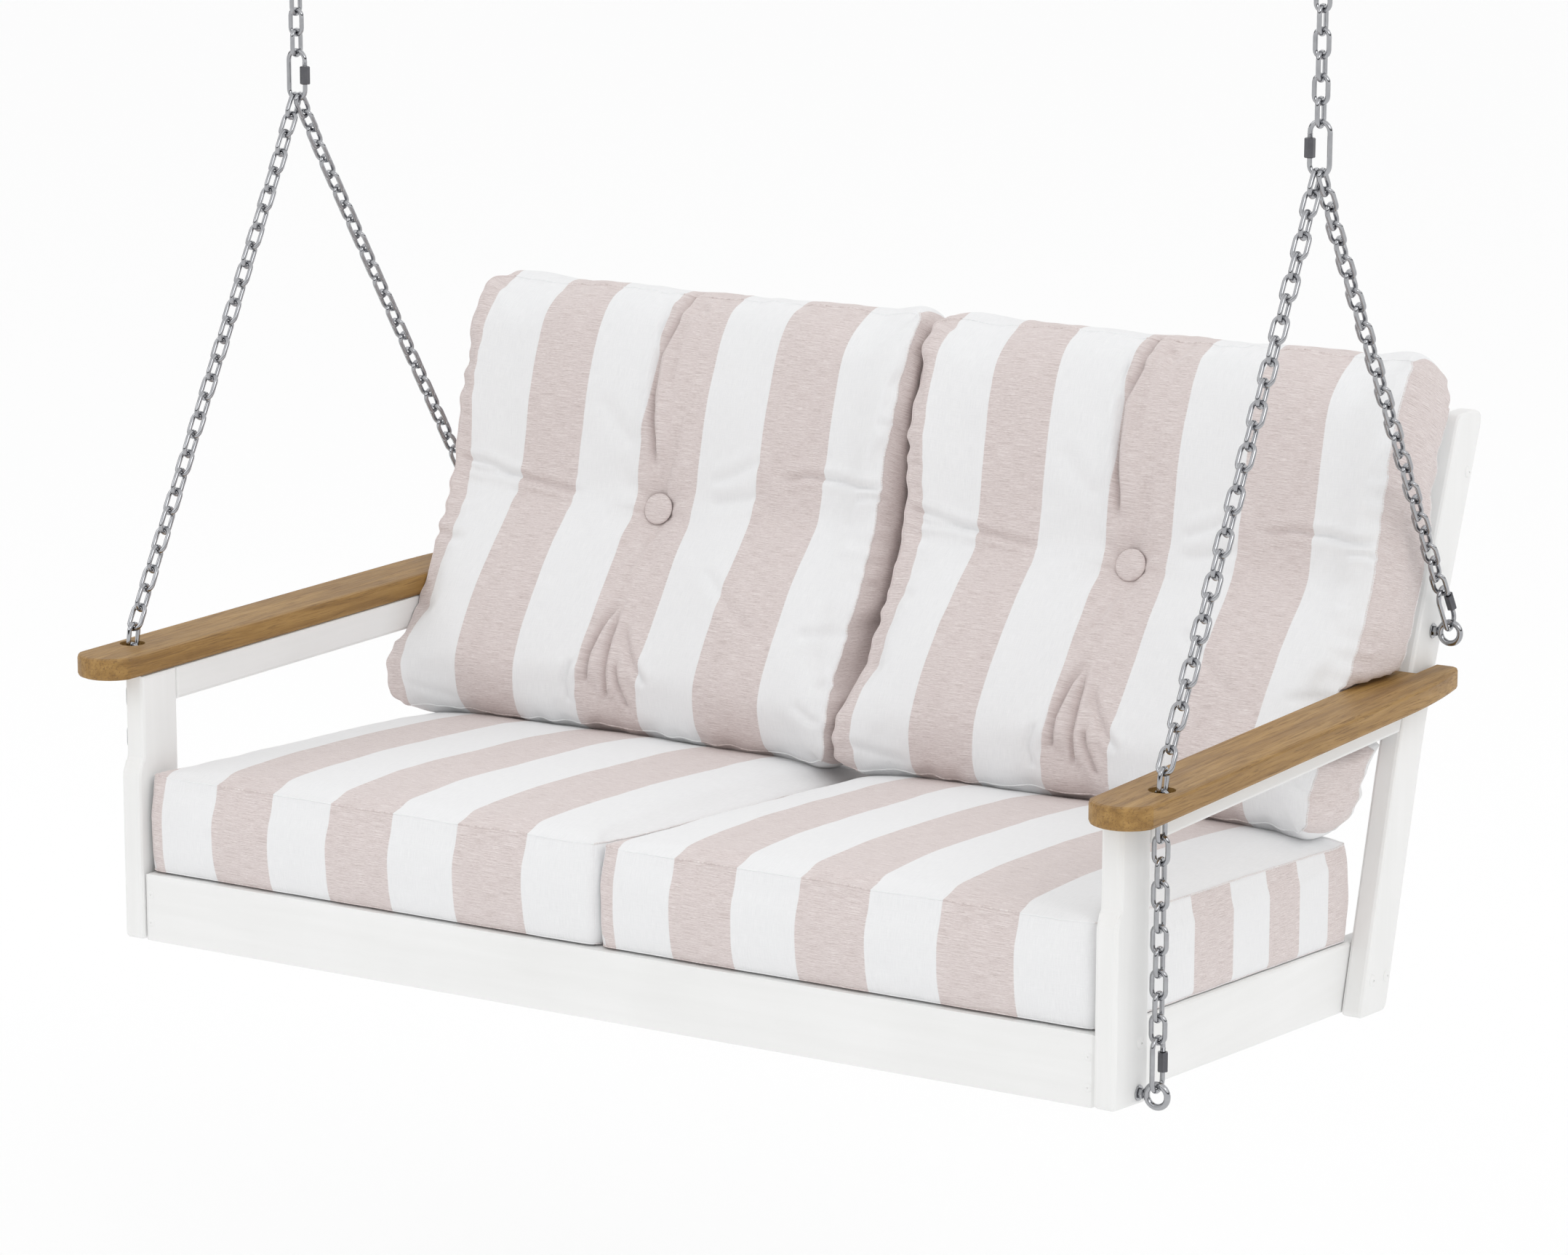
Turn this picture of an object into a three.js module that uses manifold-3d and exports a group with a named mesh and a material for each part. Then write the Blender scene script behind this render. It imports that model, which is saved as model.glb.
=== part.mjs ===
// A two-seat porch swing: plastic-lumber bench with cushions, hung on two chains from the ceiling.
// Millimetres, +Z up, +X to the right as seen from the front, +Y to the back.
// The origin is on the ceiling, midway between the two hangers.
import * as THREE from 'three';
import { mergeVertices } from 'three/addons/utils/BufferGeometryUtils.js';
import Module from 'manifold-3d';

const wasm = await Module();
wasm.setup();

// ---- driving dimensions. Bench heights are measured from the apron's lower edge, depths from the
// front of the legs. The bench group below moves all of it under the ceiling. ----
const GAP = 0.3;                     // between pieces that touch
const BOARD = 25.4;                  // thickness of every frame board
const EDGE = 4;                      // rounded board edges
const INNER_HALF = 615;              // centre to the inner face of a leg or post
const SEAT_SLOPE = 0.0715;           // the seat falls towards the back
const RAIL_Z = 0.8;                  // side rail's lower edge at depth 0
const RAIL_HEIGHT = 79.3;
const APRON_Y = 5;                   // the apron sits back from the legs' front
const APRON_HEIGHT = 78;

const LEG_DEPTH = 72.5;
const LEG_STEP = 10;                 // the upper leg is this much shallower
const LEG_STEP_LOW = 188;
const LEG_STEP_HIGH = 218;
const ARM_Z = 306.8;                 // underside of the arms
const ARM_THICK = 25.2;
const ARM_RAIL_HEIGHT = 38.4;

const POST_DEPTH = 68;               // measured level, front edge to back edge
const POST_LOW_SLOPE = 0.2757;       // backward lean below the bend
const POST_HIGH_SLOPE = 0.403;       // and above it
const POST_BEND = { y: 701.6, z: 283 };
const POST_TOP_Z = 606;

const BACK_ANGLE = Math.atan(0.36);  // lean of the back slats
const BACK_FOOT_Y = 597;             // front plane of the back slats at height 0
const BACK_SLATS = 6;
const BACK_SLAT_WIDTH = 90;
const BACK_SLAT_THICK = 12;
const SEAT_SLATS = 5;
const SEAT_SLAT_WIDTH = 100;
const SEAT_SLAT_THICK = 24;

const CUSHION_SIDE = 610;            // along X
const SEAT_CUSHION_DEPTH = 598;
const SEAT_CUSHION_HEIGHT = 114;     // at the seams
const SEAT_CROWN = 15;
const CUSHION_FRONT = 8;
const BUTTON_RADIUS = 18;
const BUTTON = { y: 652, z: 424, lean: Math.atan(0.36) };
const BUTTON_X = { left: -334, right: 306 };
const CUSHION_X = 1.5;               // half the gap between the two places
const COVER = 10;                    // padded cover of a back cushion
const ZIP = { z: 200, height: 8, depth: 40, end: 60 };

const CHAIN_X = 662;                 // centre to each chain
const CHAIN_Y = 382;                 // depth of the hanging line
const CHAIN_WIRE = 5.3;
const CHAIN_PITCH = 24;
const CHAIN_WIDTH = 21;
const UPPER_LINKS = 6;               // between the top link and the apex link
const APEX_Z = 922;                  // lower bar of the apex quick link
const FRONT_EYE = { y: 52, z: 9 };
const REAR_EYE = { y: 741, z: 370 };
const ARM_HOLE_RADIUS = 14.5;
const CHAIN_START = 27;              // from the apex bar down a lower run, past its first bar
const CHAIN_BEND = 14;               // rounding of the front run where it turns upright

const QUICK_WIRE = 5.5;
const QUICK_WIDTH = 28.5;
const QUICK_LENGTH = 62.3;
const QUICK_GAP = 9;                 // opening that the sleeve nut closes
const SLEEVE_LENGTH = 21;
const SLEEVE_RADIUS = 5.9;
const EYE_RADIUS = 12;               // centreline of an eye bolt's ring
const EYE_WIRE = 7;
const SHANK_RADIUS = 3;
const NUT_RADIUS = 6.5;
const NUT_LENGTH = 6;

const HOOK_WIRE = 8;
const HOOK_HALF = 17;                // half the width of the ceiling hook's loop
const HOOK_DROP = 46;                // lower bar of the loop below the plate
const PLATE = { width: 92, depth: 46, thick: 5, corner: 8, hole: 3.2, holeX: 34 };

// ---- derived heights of the hanging line ----
const CHAIN_SPAN = CHAIN_PITCH + CHAIN_WIRE;            // wire centre to wire centre in one link
const QUICK_SPAN = QUICK_LENGTH - QUICK_WIRE;
const APEX_TOP_Z = APEX_Z + QUICK_SPAN;
const LAST_LINK_Z = APEX_TOP_Z - (QUICK_WIRE + CHAIN_WIRE) / 2;
const SWAY_Z = LAST_LINK_Z + UPPER_LINKS * CHAIN_PITCH; // lower bar of the top link
const TOP_LINK_Z = SWAY_Z + CHAIN_SPAN;
const HOOK_Z = TOP_LINK_Z - (CHAIN_WIRE + HOOK_WIRE) / 2;
const CEILING_Z = HOOK_Z + HOOK_DROP + PLATE.thick;

const SEAT_ANGLE = Math.atan(SEAT_SLOPE);
const X_AXIS = new THREE.Vector3(1, 0, 0);
const Y_AXIS = new THREE.Vector3(0, 1, 0);
const Z_AXIS = new THREE.Vector3(0, 0, 1);
// turns a drawing of (depth, height) extruded forwards into a side view extruded along +X
const SIDE_VIEW = new THREE.Matrix4().makeBasis(Y_AXIS, Z_AXIS, X_AXIS);
const SIDES = [['left', -1], ['right', 1]];

const colours = {
  white: { color: 0xe9e9e7, roughness: 0.55, metalness: 0 },
  arm: { color: 0xa5845a, roughness: 0.6, metalness: 0 },
  fabric: { color: 0xe6e1df, roughness: 0.95, metalness: 0 },
  button: { color: 0xd0c5c2, roughness: 0.95, metalness: 0 },
  chrome: { color: 0xb9bcc0, roughness: 0.15, metalness: 1 },
};

const swing = new THREE.Group();
const bench = new THREE.Group();      // everything is placed in the bench's own heights and depths
bench.position.set(0, -CHAIN_Y, -CEILING_Z);
swing.add(bench);
const seatFrame = new THREE.Group();  // local y runs back along the side rails, z square to them
seatFrame.position.set(0, 0, RAIL_Z);
seatFrame.rotation.x = -SEAT_ANGLE;
const backFrame = new THREE.Group();  // local z runs up the back slats, y square to them
backFrame.position.set(0, BACK_FOOT_Y, 0);
backFrame.rotation.x = -BACK_ANGLE;
bench.add(seatFrame, backFrame);

function add(parent, name, geometry, look) {
  const mesh = new THREE.Mesh(geometry, new THREE.MeshStandardMaterial(colours[look]));
  mesh.name = name;
  parent.add(mesh);
  return mesh;
}

// ---- shapes ----
function polygon(points) {
  return new THREE.Shape(points.map(([x, y]) => new THREE.Vector2(x, y)));
}

// a polygon whose corners are rounded: each point is [x, y, radius]
function rounded(points) {
  const shape = new THREE.Shape();
  const at = (i) => points[(i + points.length) % points.length];
  points.forEach(([x, y, radius = 0], i) => {
    const corner = new THREE.Vector2(x, y);
    const before = new THREE.Vector2(at(i - 1)[0], at(i - 1)[1]).sub(corner).setLength(radius);
    const after = new THREE.Vector2(at(i + 1)[0], at(i + 1)[1]).sub(corner).setLength(radius);
    const start = corner.clone().add(before);
    if (i === 0) shape.moveTo(start.x, start.y);
    else shape.lineTo(start.x, start.y);
    if (radius > 0) shape.quadraticCurveTo(x, y, x + after.x, y + after.y);
  });
  shape.closePath();
  return shape;
}

function hole(shape, x, y, radius) {
  const path = new THREE.Path();
  path.absarc(x, y, radius, 0, 2 * Math.PI, true);
  shape.holes.push(path);
  return shape;
}

function cylinderX(radius, length, y, z) {
  return new THREE.CylinderGeometry(radius, radius, length, 16).rotateZ(Math.PI / 2).translate(0, y, z);
}

// a board with rounded edges, optionally drawn in from its outline
function board(shape, thickness, { edge = EDGE, segments = 2, inset = 0 } = {}) {
  const geometry = new THREE.ExtrudeGeometry(shape, {
    depth: thickness - 2 * edge,
    bevelThickness: edge,
    bevelSize: edge,
    bevelOffset: -edge - inset,
    bevelSegments: segments,
    curveSegments: 6,
  });
  return geometry.translate(0, 0, edge);
}

// a board drawn in side view, between two X positions
function sideBoard(shape, from, to, options) {
  return board(shape, to - from, options)
    .applyMatrix4(SIDE_VIEW)
    .translate(from, 0, 0);
}

function rectangle(y0, y1, z0, z1) {
  return polygon([[y0, z0], [y1, z0], [y1, z1], [y0, z1]]);
}

function section(radius, sides) {
  const corners = Array.from({ length: sides }, (_, i) => {
    const turn = (2 * Math.PI * i) / sides;
    return [radius * Math.cos(turn), radius * Math.sin(turn)];
  });
  return polygon(corners);
}

function rod(path, wire, steps, sides = 8) {
  const options = { steps, bevelEnabled: false, extrudePath: path };
  return new THREE.ExtrudeGeometry(section(wire / 2, sides), options);
}

// ---- solids ----
function toSolid(geometry) {
  const bare = geometry.clone();
  bare.deleteAttribute('normal');
  bare.deleteAttribute('uv');
  const merged = mergeVertices(bare, 1e-4);
  const vertProperties = Float32Array.from(merged.attributes.position.array);
  const triVerts = Uint32Array.from(merged.index.array);
  return new wasm.Manifold(new wasm.Mesh({ numProp: 3, vertProperties, triVerts }));
}

function toGeometry(solid) {
  const mesh = solid.getMesh();
  const geometry = new THREE.BufferGeometry();
  geometry.setAttribute('position', new THREE.BufferAttribute(mesh.vertProperties, 3));
  geometry.setIndex(new THREE.BufferAttribute(mesh.triVerts, 1));
  return geometry;
}

function union(...geometries) {
  return toGeometry(geometries.map(toSolid).reduce((sum, next) => sum.add(next)));
}

function cut(geometry, ...tools) {
  return toGeometry(tools.map(toSolid).reduce((rest, tool) => rest.subtract(tool), toSolid(geometry)));
}

// ---- the back post's edges ----
function postCentre(z) {
  const slope = z < POST_BEND.z ? POST_LOW_SLOPE : POST_HIGH_SLOPE;
  return POST_BEND.y + slope * (z - POST_BEND.z);
}

function postFront(z) {
  return postCentre(z) - POST_DEPTH / 2;
}

function postBack(z) {
  return postCentre(z) + POST_DEPTH / 2;
}

function railBottom(y) {
  return RAIL_Z - SEAT_SLOPE * y;
}

function railTop(y) {
  return railBottom(y) + RAIL_HEIGHT;
}

// a point of the bench's side view, in the sloping seat frame
function inSeatFrame({ y, z }) {
  const [c, s] = [Math.cos(SEAT_ANGLE), Math.sin(SEAT_ANGLE)];
  return { y: y * c - (z - RAIL_Z) * s, z: y * s + (z - RAIL_Z) * c };
}

// ---- frame ----
const inner = INNER_HALF + GAP / 2;
const outer = inner + BOARD;
const railOuter = INNER_HALF - GAP / 2;
const railInner = railOuter - BOARD;
const apronBack = APRON_Y + BOARD;

function eachSide(build) {
  for (const [name, sign] of SIDES) build(name, sign);
}

// the X span of a board between two distances from the centre, on the given side
function spanX(sign, near, far) {
  return sign < 0 ? [-far, -near] : [near, far];
}

function legShape() {
  const bottomFront = railBottom(0) - 0.6;
  const bottomRear = railBottom(LEG_DEPTH) - 0.6;
  const shape = new THREE.Shape();
  const middle = (LEG_STEP_LOW + LEG_STEP_HIGH) / 2;
  shape.moveTo(7, bottomFront);
  shape.lineTo(LEG_DEPTH - 8, bottomRear);
  shape.quadraticCurveTo(LEG_DEPTH, bottomRear, LEG_DEPTH, bottomRear + 8);
  shape.lineTo(LEG_DEPTH, ARM_Z - GAP);
  shape.lineTo(LEG_STEP, ARM_Z - GAP);
  shape.lineTo(LEG_STEP, LEG_STEP_HIGH);
  shape.bezierCurveTo(LEG_STEP, middle, 0, middle, 0, LEG_STEP_LOW);
  shape.lineTo(0, bottomFront + 7);
  shape.quadraticCurveTo(0, bottomFront, 7, bottomFront);
  return shape;
}

function postShape() {
  const foot = railBottom(612) - 1;
  const bend = 70;                      // half the height of the bend
  const [low, high] = [POST_BEND.z - bend, POST_BEND.z + bend];
  const shape = new THREE.Shape();
  shape.moveTo(postFront(foot) + 12, foot);
  shape.lineTo(postBack(foot) - 10, foot - 3);
  shape.quadraticCurveTo(postBack(foot), foot - 3, postBack(foot + 10), foot + 8);
  shape.lineTo(postBack(low), low);
  shape.quadraticCurveTo(postBack(POST_BEND.z), POST_BEND.z, postBack(high), high);
  shape.lineTo(postBack(POST_TOP_Z - 22), POST_TOP_Z - 22);
  shape.quadraticCurveTo(postBack(POST_TOP_Z), POST_TOP_Z, postBack(POST_TOP_Z) - 26, POST_TOP_Z);
  shape.lineTo(postFront(POST_TOP_Z) + 10, POST_TOP_Z);
  const shoulder = POST_TOP_Z - 9;
  shape.quadraticCurveTo(postFront(POST_TOP_Z), POST_TOP_Z, postFront(shoulder), shoulder);
  shape.lineTo(postFront(high), high);
  shape.quadraticCurveTo(postFront(POST_BEND.z), POST_BEND.z, postFront(low), low);
  shape.lineTo(postFront(foot + 11), foot + 11);
  shape.quadraticCurveTo(postFront(foot), foot, postFront(foot) + 12, foot);
  return shape;
}

function sideRailShape() {
  const rear = (z) => postBack(z) - 7;
  return polygon([
    [apronBack + GAP, railBottom(apronBack)],
    [rear(railBottom(640)), railBottom(640)],
    [rear(railTop(660)), railTop(660)],
    [apronBack + GAP, railTop(apronBack)],
  ]);
}

function armRailShape() {
  const [top, bottom] = [ARM_Z - GAP, ARM_Z - GAP - ARM_RAIL_HEIGHT];
  return polygon([
    [LEG_DEPTH + GAP, bottom],
    [postFront(bottom) - 2 * GAP, bottom],
    [postFront(top) - 2 * GAP, top],
    [LEG_DEPTH + GAP, top],
  ]);
}

// the arm in plan view, drawn for the right side and mirrored for the left
const ARM = {
  near: 613.2, far: 686.8, frontRadius: 39, taperStart: 585, taperRadius: 1024, back: 745,
  strip: 6.5,                          // room between the post and the strip that passes outside it
};

function armShape() {
  const middle = (ARM.near + ARM.far) / 2;
  const half = (ARM.far - ARM.near) / 2;
  const corner = Math.asin(Math.sqrt(1 - (half / ARM.frontRadius) ** 2));
  const taper = ARM.back - ARM.taperStart;
  const backFar = ARM.far - (ARM.taperRadius - Math.sqrt(ARM.taperRadius ** 2 - taper ** 2));
  const shape = new THREE.Shape();
  const startY = -ARM.frontRadius * Math.sin(corner);
  shape.moveTo(ARM.near, startY);
  shape.absarc(middle, 0, ARM.frontRadius, Math.PI + corner, 2 * Math.PI - corner, false);
  shape.lineTo(ARM.far, ARM.taperStart);
  shape.quadraticCurveTo(ARM.far, (ARM.taperStart + ARM.back) / 2, backFar, ARM.back - 9);
  shape.quadraticCurveTo(backFar - 1, ARM.back, backFar - 10, ARM.back);
  shape.lineTo(ARM.near, ARM.back);
  shape.closePath();
  return shape;
}

// the room the post needs in the arm: all that is inside the arm's outer strip, behind the post's front
function armNotch() {
  const [low, high] = [ARM_Z - 20, ARM_Z + ARM_THICK + 20];
  const side = polygon([
    [postFront(low) - 2 * GAP, low],
    [900, low],
    [900, high],
    [postFront(high) - 2 * GAP, high],
  ]);
  const options = { depth: 60, bevelEnabled: false };
  return new THREE.ExtrudeGeometry(side, options)
    .applyMatrix4(SIDE_VIEW)
    .translate(outer + ARM.strip - options.depth, 0, 0);
}

function mirrorX(geometry) {
  const flipped = toSolid(geometry).mirror([1, 0, 0]);
  return toGeometry(flipped);
}

eachSide((name, sign) => {
  const wall = spanX(sign, inner, outer);
  const bore = ({ y, z }) => cylinderX(SHANK_RADIUS + 0.5, 4 * INNER_HALF, y, z);
  const leg = cut(sideBoard(legShape(), ...wall), bore(FRONT_EYE));
  const post = cut(sideBoard(postShape(), ...wall), bore(REAR_EYE));
  const rail = cut(sideBoard(sideRailShape(), ...spanX(sign, railInner, railOuter)), bore(FRONT_EYE));
  add(bench, `front_leg_${name}`, leg, 'white');
  add(bench, `back_post_${name}`, post, 'white');
  add(bench, `side_rail_${name}`, rail, 'white');
  add(bench, `arm_rail_${name}`, sideBoard(armRailShape(), ...wall), 'white');
  const armHole = new THREE.CylinderGeometry(ARM_HOLE_RADIUS, ARM_HOLE_RADIUS, 100, 24)
    .rotateX(Math.PI / 2)
    .translate(CHAIN_X, FRONT_EYE.y, ARM_Z);
  const plank = board(armShape(), ARM_THICK).translate(0, 0, ARM_Z);
  const arm = cut(plank, armNotch(), armHole);
  add(bench, `arm_${name}`, sign < 0 ? mirrorX(arm) : arm, 'arm');
});

add(bench, 'front_apron',
  sideBoard(rectangle(APRON_Y, apronBack, 0, APRON_HEIGHT), -railOuter, railOuter), 'white');

// ---- seat deck, in the sloping seat frame ----
const SLAT = { edge: 2 };
const deckTop = RAIL_HEIGHT - 0.5;
const deckUnder = deckTop - SEAT_SLAT_THICK;
const deckStart = 36;
const deckLength = 558;
const seatGap = (deckLength - SEAT_SLATS * SEAT_SLAT_WIDTH) / (SEAT_SLATS - 1);
for (let i = 0; i < SEAT_SLATS; i += 1) {
  const y = deckStart + i * (SEAT_SLAT_WIDTH + seatGap);
  const shape = rectangle(y, y + SEAT_SLAT_WIDTH, deckUnder, deckTop);
  const half = railInner - GAP;
  add(seatFrame, `seat_slat_${i + 1}`, sideBoard(shape, -half, half, SLAT), 'white');
}

eachSide((name, sign) => {
  const cleat = rectangle(deckStart, deckStart + deckLength, deckUnder - GAP - 20, deckUnder - GAP);
  const span = spanX(sign, railInner - GAP - 20, railInner - GAP);
  add(seatFrame, `slat_cleat_${name}`, sideBoard(cleat, ...span, SLAT), 'white');
});

const stretcherRear = { low: 596, high: 606 };
add(bench, 'centre_stretcher', sideBoard(polygon([
  [apronBack + GAP, railBottom(apronBack) + 12],
  [stretcherRear.low, railBottom(stretcherRear.low) + 12],
  [stretcherRear.high, railBottom(stretcherRear.high) + deckUnder - 1],
  [apronBack + GAP, railBottom(apronBack) + deckUnder - 1],
]), -BOARD / 2, BOARD / 2), 'white');

// ---- back, in the leaning back frame ----
const railBehind = [BACK_SLAT_THICK + GAP, BACK_SLAT_THICK + GAP + BOARD];
const backSpan = 2 * railOuter;
const backGap = (backSpan - BACK_SLATS * BACK_SLAT_WIDTH) / (BACK_SLATS + 1);
for (let i = 0; i < BACK_SLATS; i += 1) {
  const x = -railOuter + backGap + i * (BACK_SLAT_WIDTH + backGap);
  const shape = rectangle(0, BACK_SLAT_THICK, -24, 634);
  add(backFrame, `back_slat_${i + 1}`, sideBoard(shape, x, x + BACK_SLAT_WIDTH, SLAT), 'white');
}
add(backFrame, 'top_back_rail',
  sideBoard(rectangle(...railBehind, 552, 616), -railOuter, railOuter), 'white');
add(backFrame, 'rear_seat_rail',
  sideBoard(rectangle(...railBehind, -24, 43), -railInner + GAP, railInner - GAP), 'white');

// ---- cushions ----
const seatBase = RAIL_HEIGHT + GAP;
const seatTop = seatBase + SEAT_CUSHION_HEIGHT;

// height of a seat cushion's crown over its seams, at a depth along the seat
function crown(y) {
  const middle = CUSHION_FRONT + SEAT_CUSHION_DEPTH / 2;
  return SEAT_CROWN * (1 - ((y - middle) / (SEAT_CUSHION_DEPTH / 2)) ** 4);
}

function seatCushionShape() {
  const [front, rear, base] = [CUSHION_FRONT, CUSHION_FRONT + SEAT_CUSHION_DEPTH, seatBase];
  const [edge, steps] = [34, 12];
  const shape = new THREE.Shape();
  shape.moveTo(front + 12, base);
  shape.lineTo(rear - 16, base);
  shape.quadraticCurveTo(rear, base, rear, base + 18);
  shape.lineTo(rear, seatTop - 18);
  shape.quadraticCurveTo(rear, seatTop, rear - edge, seatTop + crown(rear - edge));
  for (let i = 1; i <= steps; i += 1) {
    const y = rear - edge - ((rear - front - 2 * edge) * i) / steps;
    shape.lineTo(y, seatTop + crown(y));
  }
  shape.quadraticCurveTo(front, seatTop, front, seatTop - 18);
  shape.lineTo(front, base + 14);
  shape.quadraticCurveTo(front, base, front + 12, base);
  return shape;
}

// side view of a back cushion in bench heights: flat against the slats, its foot on the seat, a belly
// just above the seat, a waist at the height of the button, and the crest above the slats
function backCushionShape() {
  const slats = (z) => BACK_FOOT_Y + Math.tan(BACK_ANGLE) * z - 2;
  const seat = (y) => railTop(y) + 2 * GAP + SEAT_CUSHION_HEIGHT + crown(y - 14) + 1;
  const [toe, heel, heelZ] = [524, slats(156) - 30, 156];
  const shape = new THREE.Shape();
  for (let i = 0; i <= 4; i += 1) {
    const y = toe + ((heel - toe) * i) / 4;
    if (i === 0) shape.moveTo(y, seat(y));
    else shape.lineTo(y, seat(y));
  }
  shape.quadraticCurveTo(slats(heelZ), seat(heel) - 2, slats(heelZ + 34), heelZ + 34);
  shape.lineTo(slats(612), 612);
  shape.bezierCurveTo(slats(655), 655, 812, 672, 762, 674);
  shape.bezierCurveTo(716, 676, 706, 640, 690, 596);
  shape.bezierCurveTo(672, 546, 664, 500, 648, 452);
  shape.bezierCurveTo(630, 400, 560, 330, 516, 262);
  shape.bezierCurveTo(488, 216, 476, seat(490) + 4, toe, seat(toe));
  return shape;
}

// the dimple that the button pulls into the face
function dimple() {
  const reach = 60;                     // well clear of the face
  const profile = [[0, 0], [BUTTON_RADIUS, 0], [40, 8], [75, 30], [120, reach], [0, reach]];
  const points = profile.map(([r, h]) => new THREE.Vector2(r, h));
  return new THREE.LatheGeometry(points, 24).rotateX(Math.PI - BUTTON.lean);
}

function buttonGeometry() {
  const profile = [
    [0, 0], [BUTTON_RADIUS - 4, 0], [BUTTON_RADIUS, 3], [BUTTON_RADIUS - 1, 7],
    [BUTTON_RADIUS - 7, 9.5], [0, 10.5],
  ];
  const points = profile.map(([r, h]) => new THREE.Vector2(r, h));
  return new THREE.LatheGeometry(points, 24).rotateX(Math.PI - BUTTON.lean);
}

// a back cushion is a padded cover, open at a zip along its foot
function backCushion([from, to], buttonX) {
  const tuft = [buttonX, BUTTON.y, BUTTON.z];
  const cover = cut(sideBoard(backCushionShape(), from, to, { edge: 16, segments: 3 }),
    dimple().translate(...tuft));
  const inside = cut(
    sideBoard(backCushionShape(), from + COVER, to - COVER, { edge: 6, inset: COVER }),
    dimple().translate(tuft[0], tuft[1] + COVER, tuft[2]));
  const length = to - from - 2 * ZIP.end;
  const zip = new THREE.BoxGeometry(length, ZIP.depth, ZIP.height)
    .translate((from + to) / 2, BACK_FOOT_Y + Math.tan(BACK_ANGLE) * ZIP.z, ZIP.z);
  return cut(cover, inside, zip);
}

eachSide((name, sign) => {
  const span = spanX(sign, CUSHION_X, CUSHION_X + CUSHION_SIDE);
  const seatCushion = sideBoard(seatCushionShape(), ...span, { edge: 7 });
  add(seatFrame, `seat_cushion_${name}`, seatCushion, 'fabric');
  add(bench, `back_cushion_${name}`, backCushion(span, BUTTON_X[name]), 'fabric');
  const button = add(bench, `cushion_button_${name}`, buttonGeometry(), 'button');
  button.position.set(BUTTON_X[name], BUTTON.y - 2 * GAP, BUTTON.z);
});

// ---- hardware ----
function placeAlong(object, x, from, to) {
  const direction = new THREE.Vector3(0, to.y - from.y, to.z - from.z).normalize();
  object.quaternion.setFromUnitVectors(Z_AXIS, direction);
  object.position.set(x, from.y, from.z);
}

// a bent rod, open inside its sleeve nut. It lies in the XZ plane, its lower bar's centre is at the
// origin, and the nut is on the -X side.
const QUICK_BEND = (QUICK_WIDTH - QUICK_WIRE) / 2;

function quickLinkPath() {
  const [low, high] = [QUICK_BEND, QUICK_SPAN - QUICK_BEND];
  const middle = QUICK_SPAN / 2;
  const at = (x, z) => new THREE.Vector3(x, 0, z);
  const path = new THREE.CurvePath();
  const bend = (z, start) => {
    const turns = Array.from({ length: 13 }, (_, i) => start + (Math.PI * i) / 12);
    const points = turns.map((a) => at(QUICK_BEND * Math.cos(a), z + QUICK_BEND * Math.sin(a)));
    return new THREE.CatmullRomCurve3(points);
  };
  path.add(new THREE.LineCurve3(at(-QUICK_BEND, middle - QUICK_GAP / 2), at(-QUICK_BEND, low)));
  path.add(bend(low, Math.PI));
  path.add(new THREE.LineCurve3(at(QUICK_BEND, low), at(QUICK_BEND, high)));
  path.add(bend(high, 0));
  path.add(new THREE.LineCurve3(at(-QUICK_BEND, high), at(-QUICK_BEND, middle + QUICK_GAP / 2)));
  return path;
}

function sleeveGeometry() {
  const nut = hole(section(SLEEVE_RADIUS, 6), 0, 0, QUICK_WIRE / 2 + 0.4);
  const options = { depth: SLEEVE_LENGTH, bevelEnabled: false, curveSegments: 5 };
  return new THREE.ExtrudeGeometry(nut, options)
    .translate(-QUICK_BEND, 0, (QUICK_SPAN - SLEEVE_LENGTH) / 2);
}

// turn about its own length first: 0 keeps the link across the bench, a quarter turn sets it fore and aft
function quickLink(name, x, from, to, turn) {
  const link = rod(quickLinkPath(), QUICK_WIRE, 30).rotateZ(turn);
  const sleeve = sleeveGeometry().rotateZ(turn);
  placeAlong(add(bench, `quick_link_${name}`, link, 'chrome'), x, from, to);
  placeAlong(add(bench, `sleeve_nut_${name}`, sleeve, 'chrome'), x, from, to);
}

// an eye bolt through a board: the ring is outside, the shank runs inwards and ends in its nut
function eyeBolt(reach) {
  const ring = new THREE.TorusGeometry(EYE_RADIUS, EYE_WIRE / 2, 8, 20).rotateX(Math.PI / 2);
  const length = EYE_RADIUS + reach;
  const shank = new THREE.CylinderGeometry(SHANK_RADIUS, SHANK_RADIUS, reach, 12)
    .rotateZ(Math.PI / 2)
    .translate(-EYE_RADIUS - reach / 2 + 1, 0, 0);
  const nut = new THREE.CylinderGeometry(NUT_RADIUS, NUT_RADIUS, NUT_LENGTH, 6)
    .rotateZ(Math.PI / 2)
    .translate(-length + NUT_LENGTH / 2 - 2, 0, 0);
  return union(ring, shank, nut);
}

// the links of a straight run alternate by a quarter turn, so the bar that stands for them has a
// cross-shaped section: as wide as a link both ways, with the steel area of the links
const chainLinkWire = 2 * (CHAIN_SPAN - CHAIN_WIDTH + CHAIN_WIRE) + Math.PI * (CHAIN_WIDTH - CHAIN_WIRE);
const chainArea = (chainLinkWire * Math.PI * CHAIN_WIRE ** 2) / 4 / CHAIN_PITCH;
const CHAIN_BLADE = CHAIN_WIDTH - Math.sqrt(CHAIN_WIDTH ** 2 - chainArea);

function crossSection() {
  const [w, t] = [CHAIN_WIDTH / 2, CHAIN_BLADE / 2];
  return polygon([
    [w, -t], [w, t], [t, t], [t, w], [-t, w], [-t, t],
    [-w, t], [-w, -t], [-t, -t], [-t, -w], [t, -w], [t, -t],
  ]);
}

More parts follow.
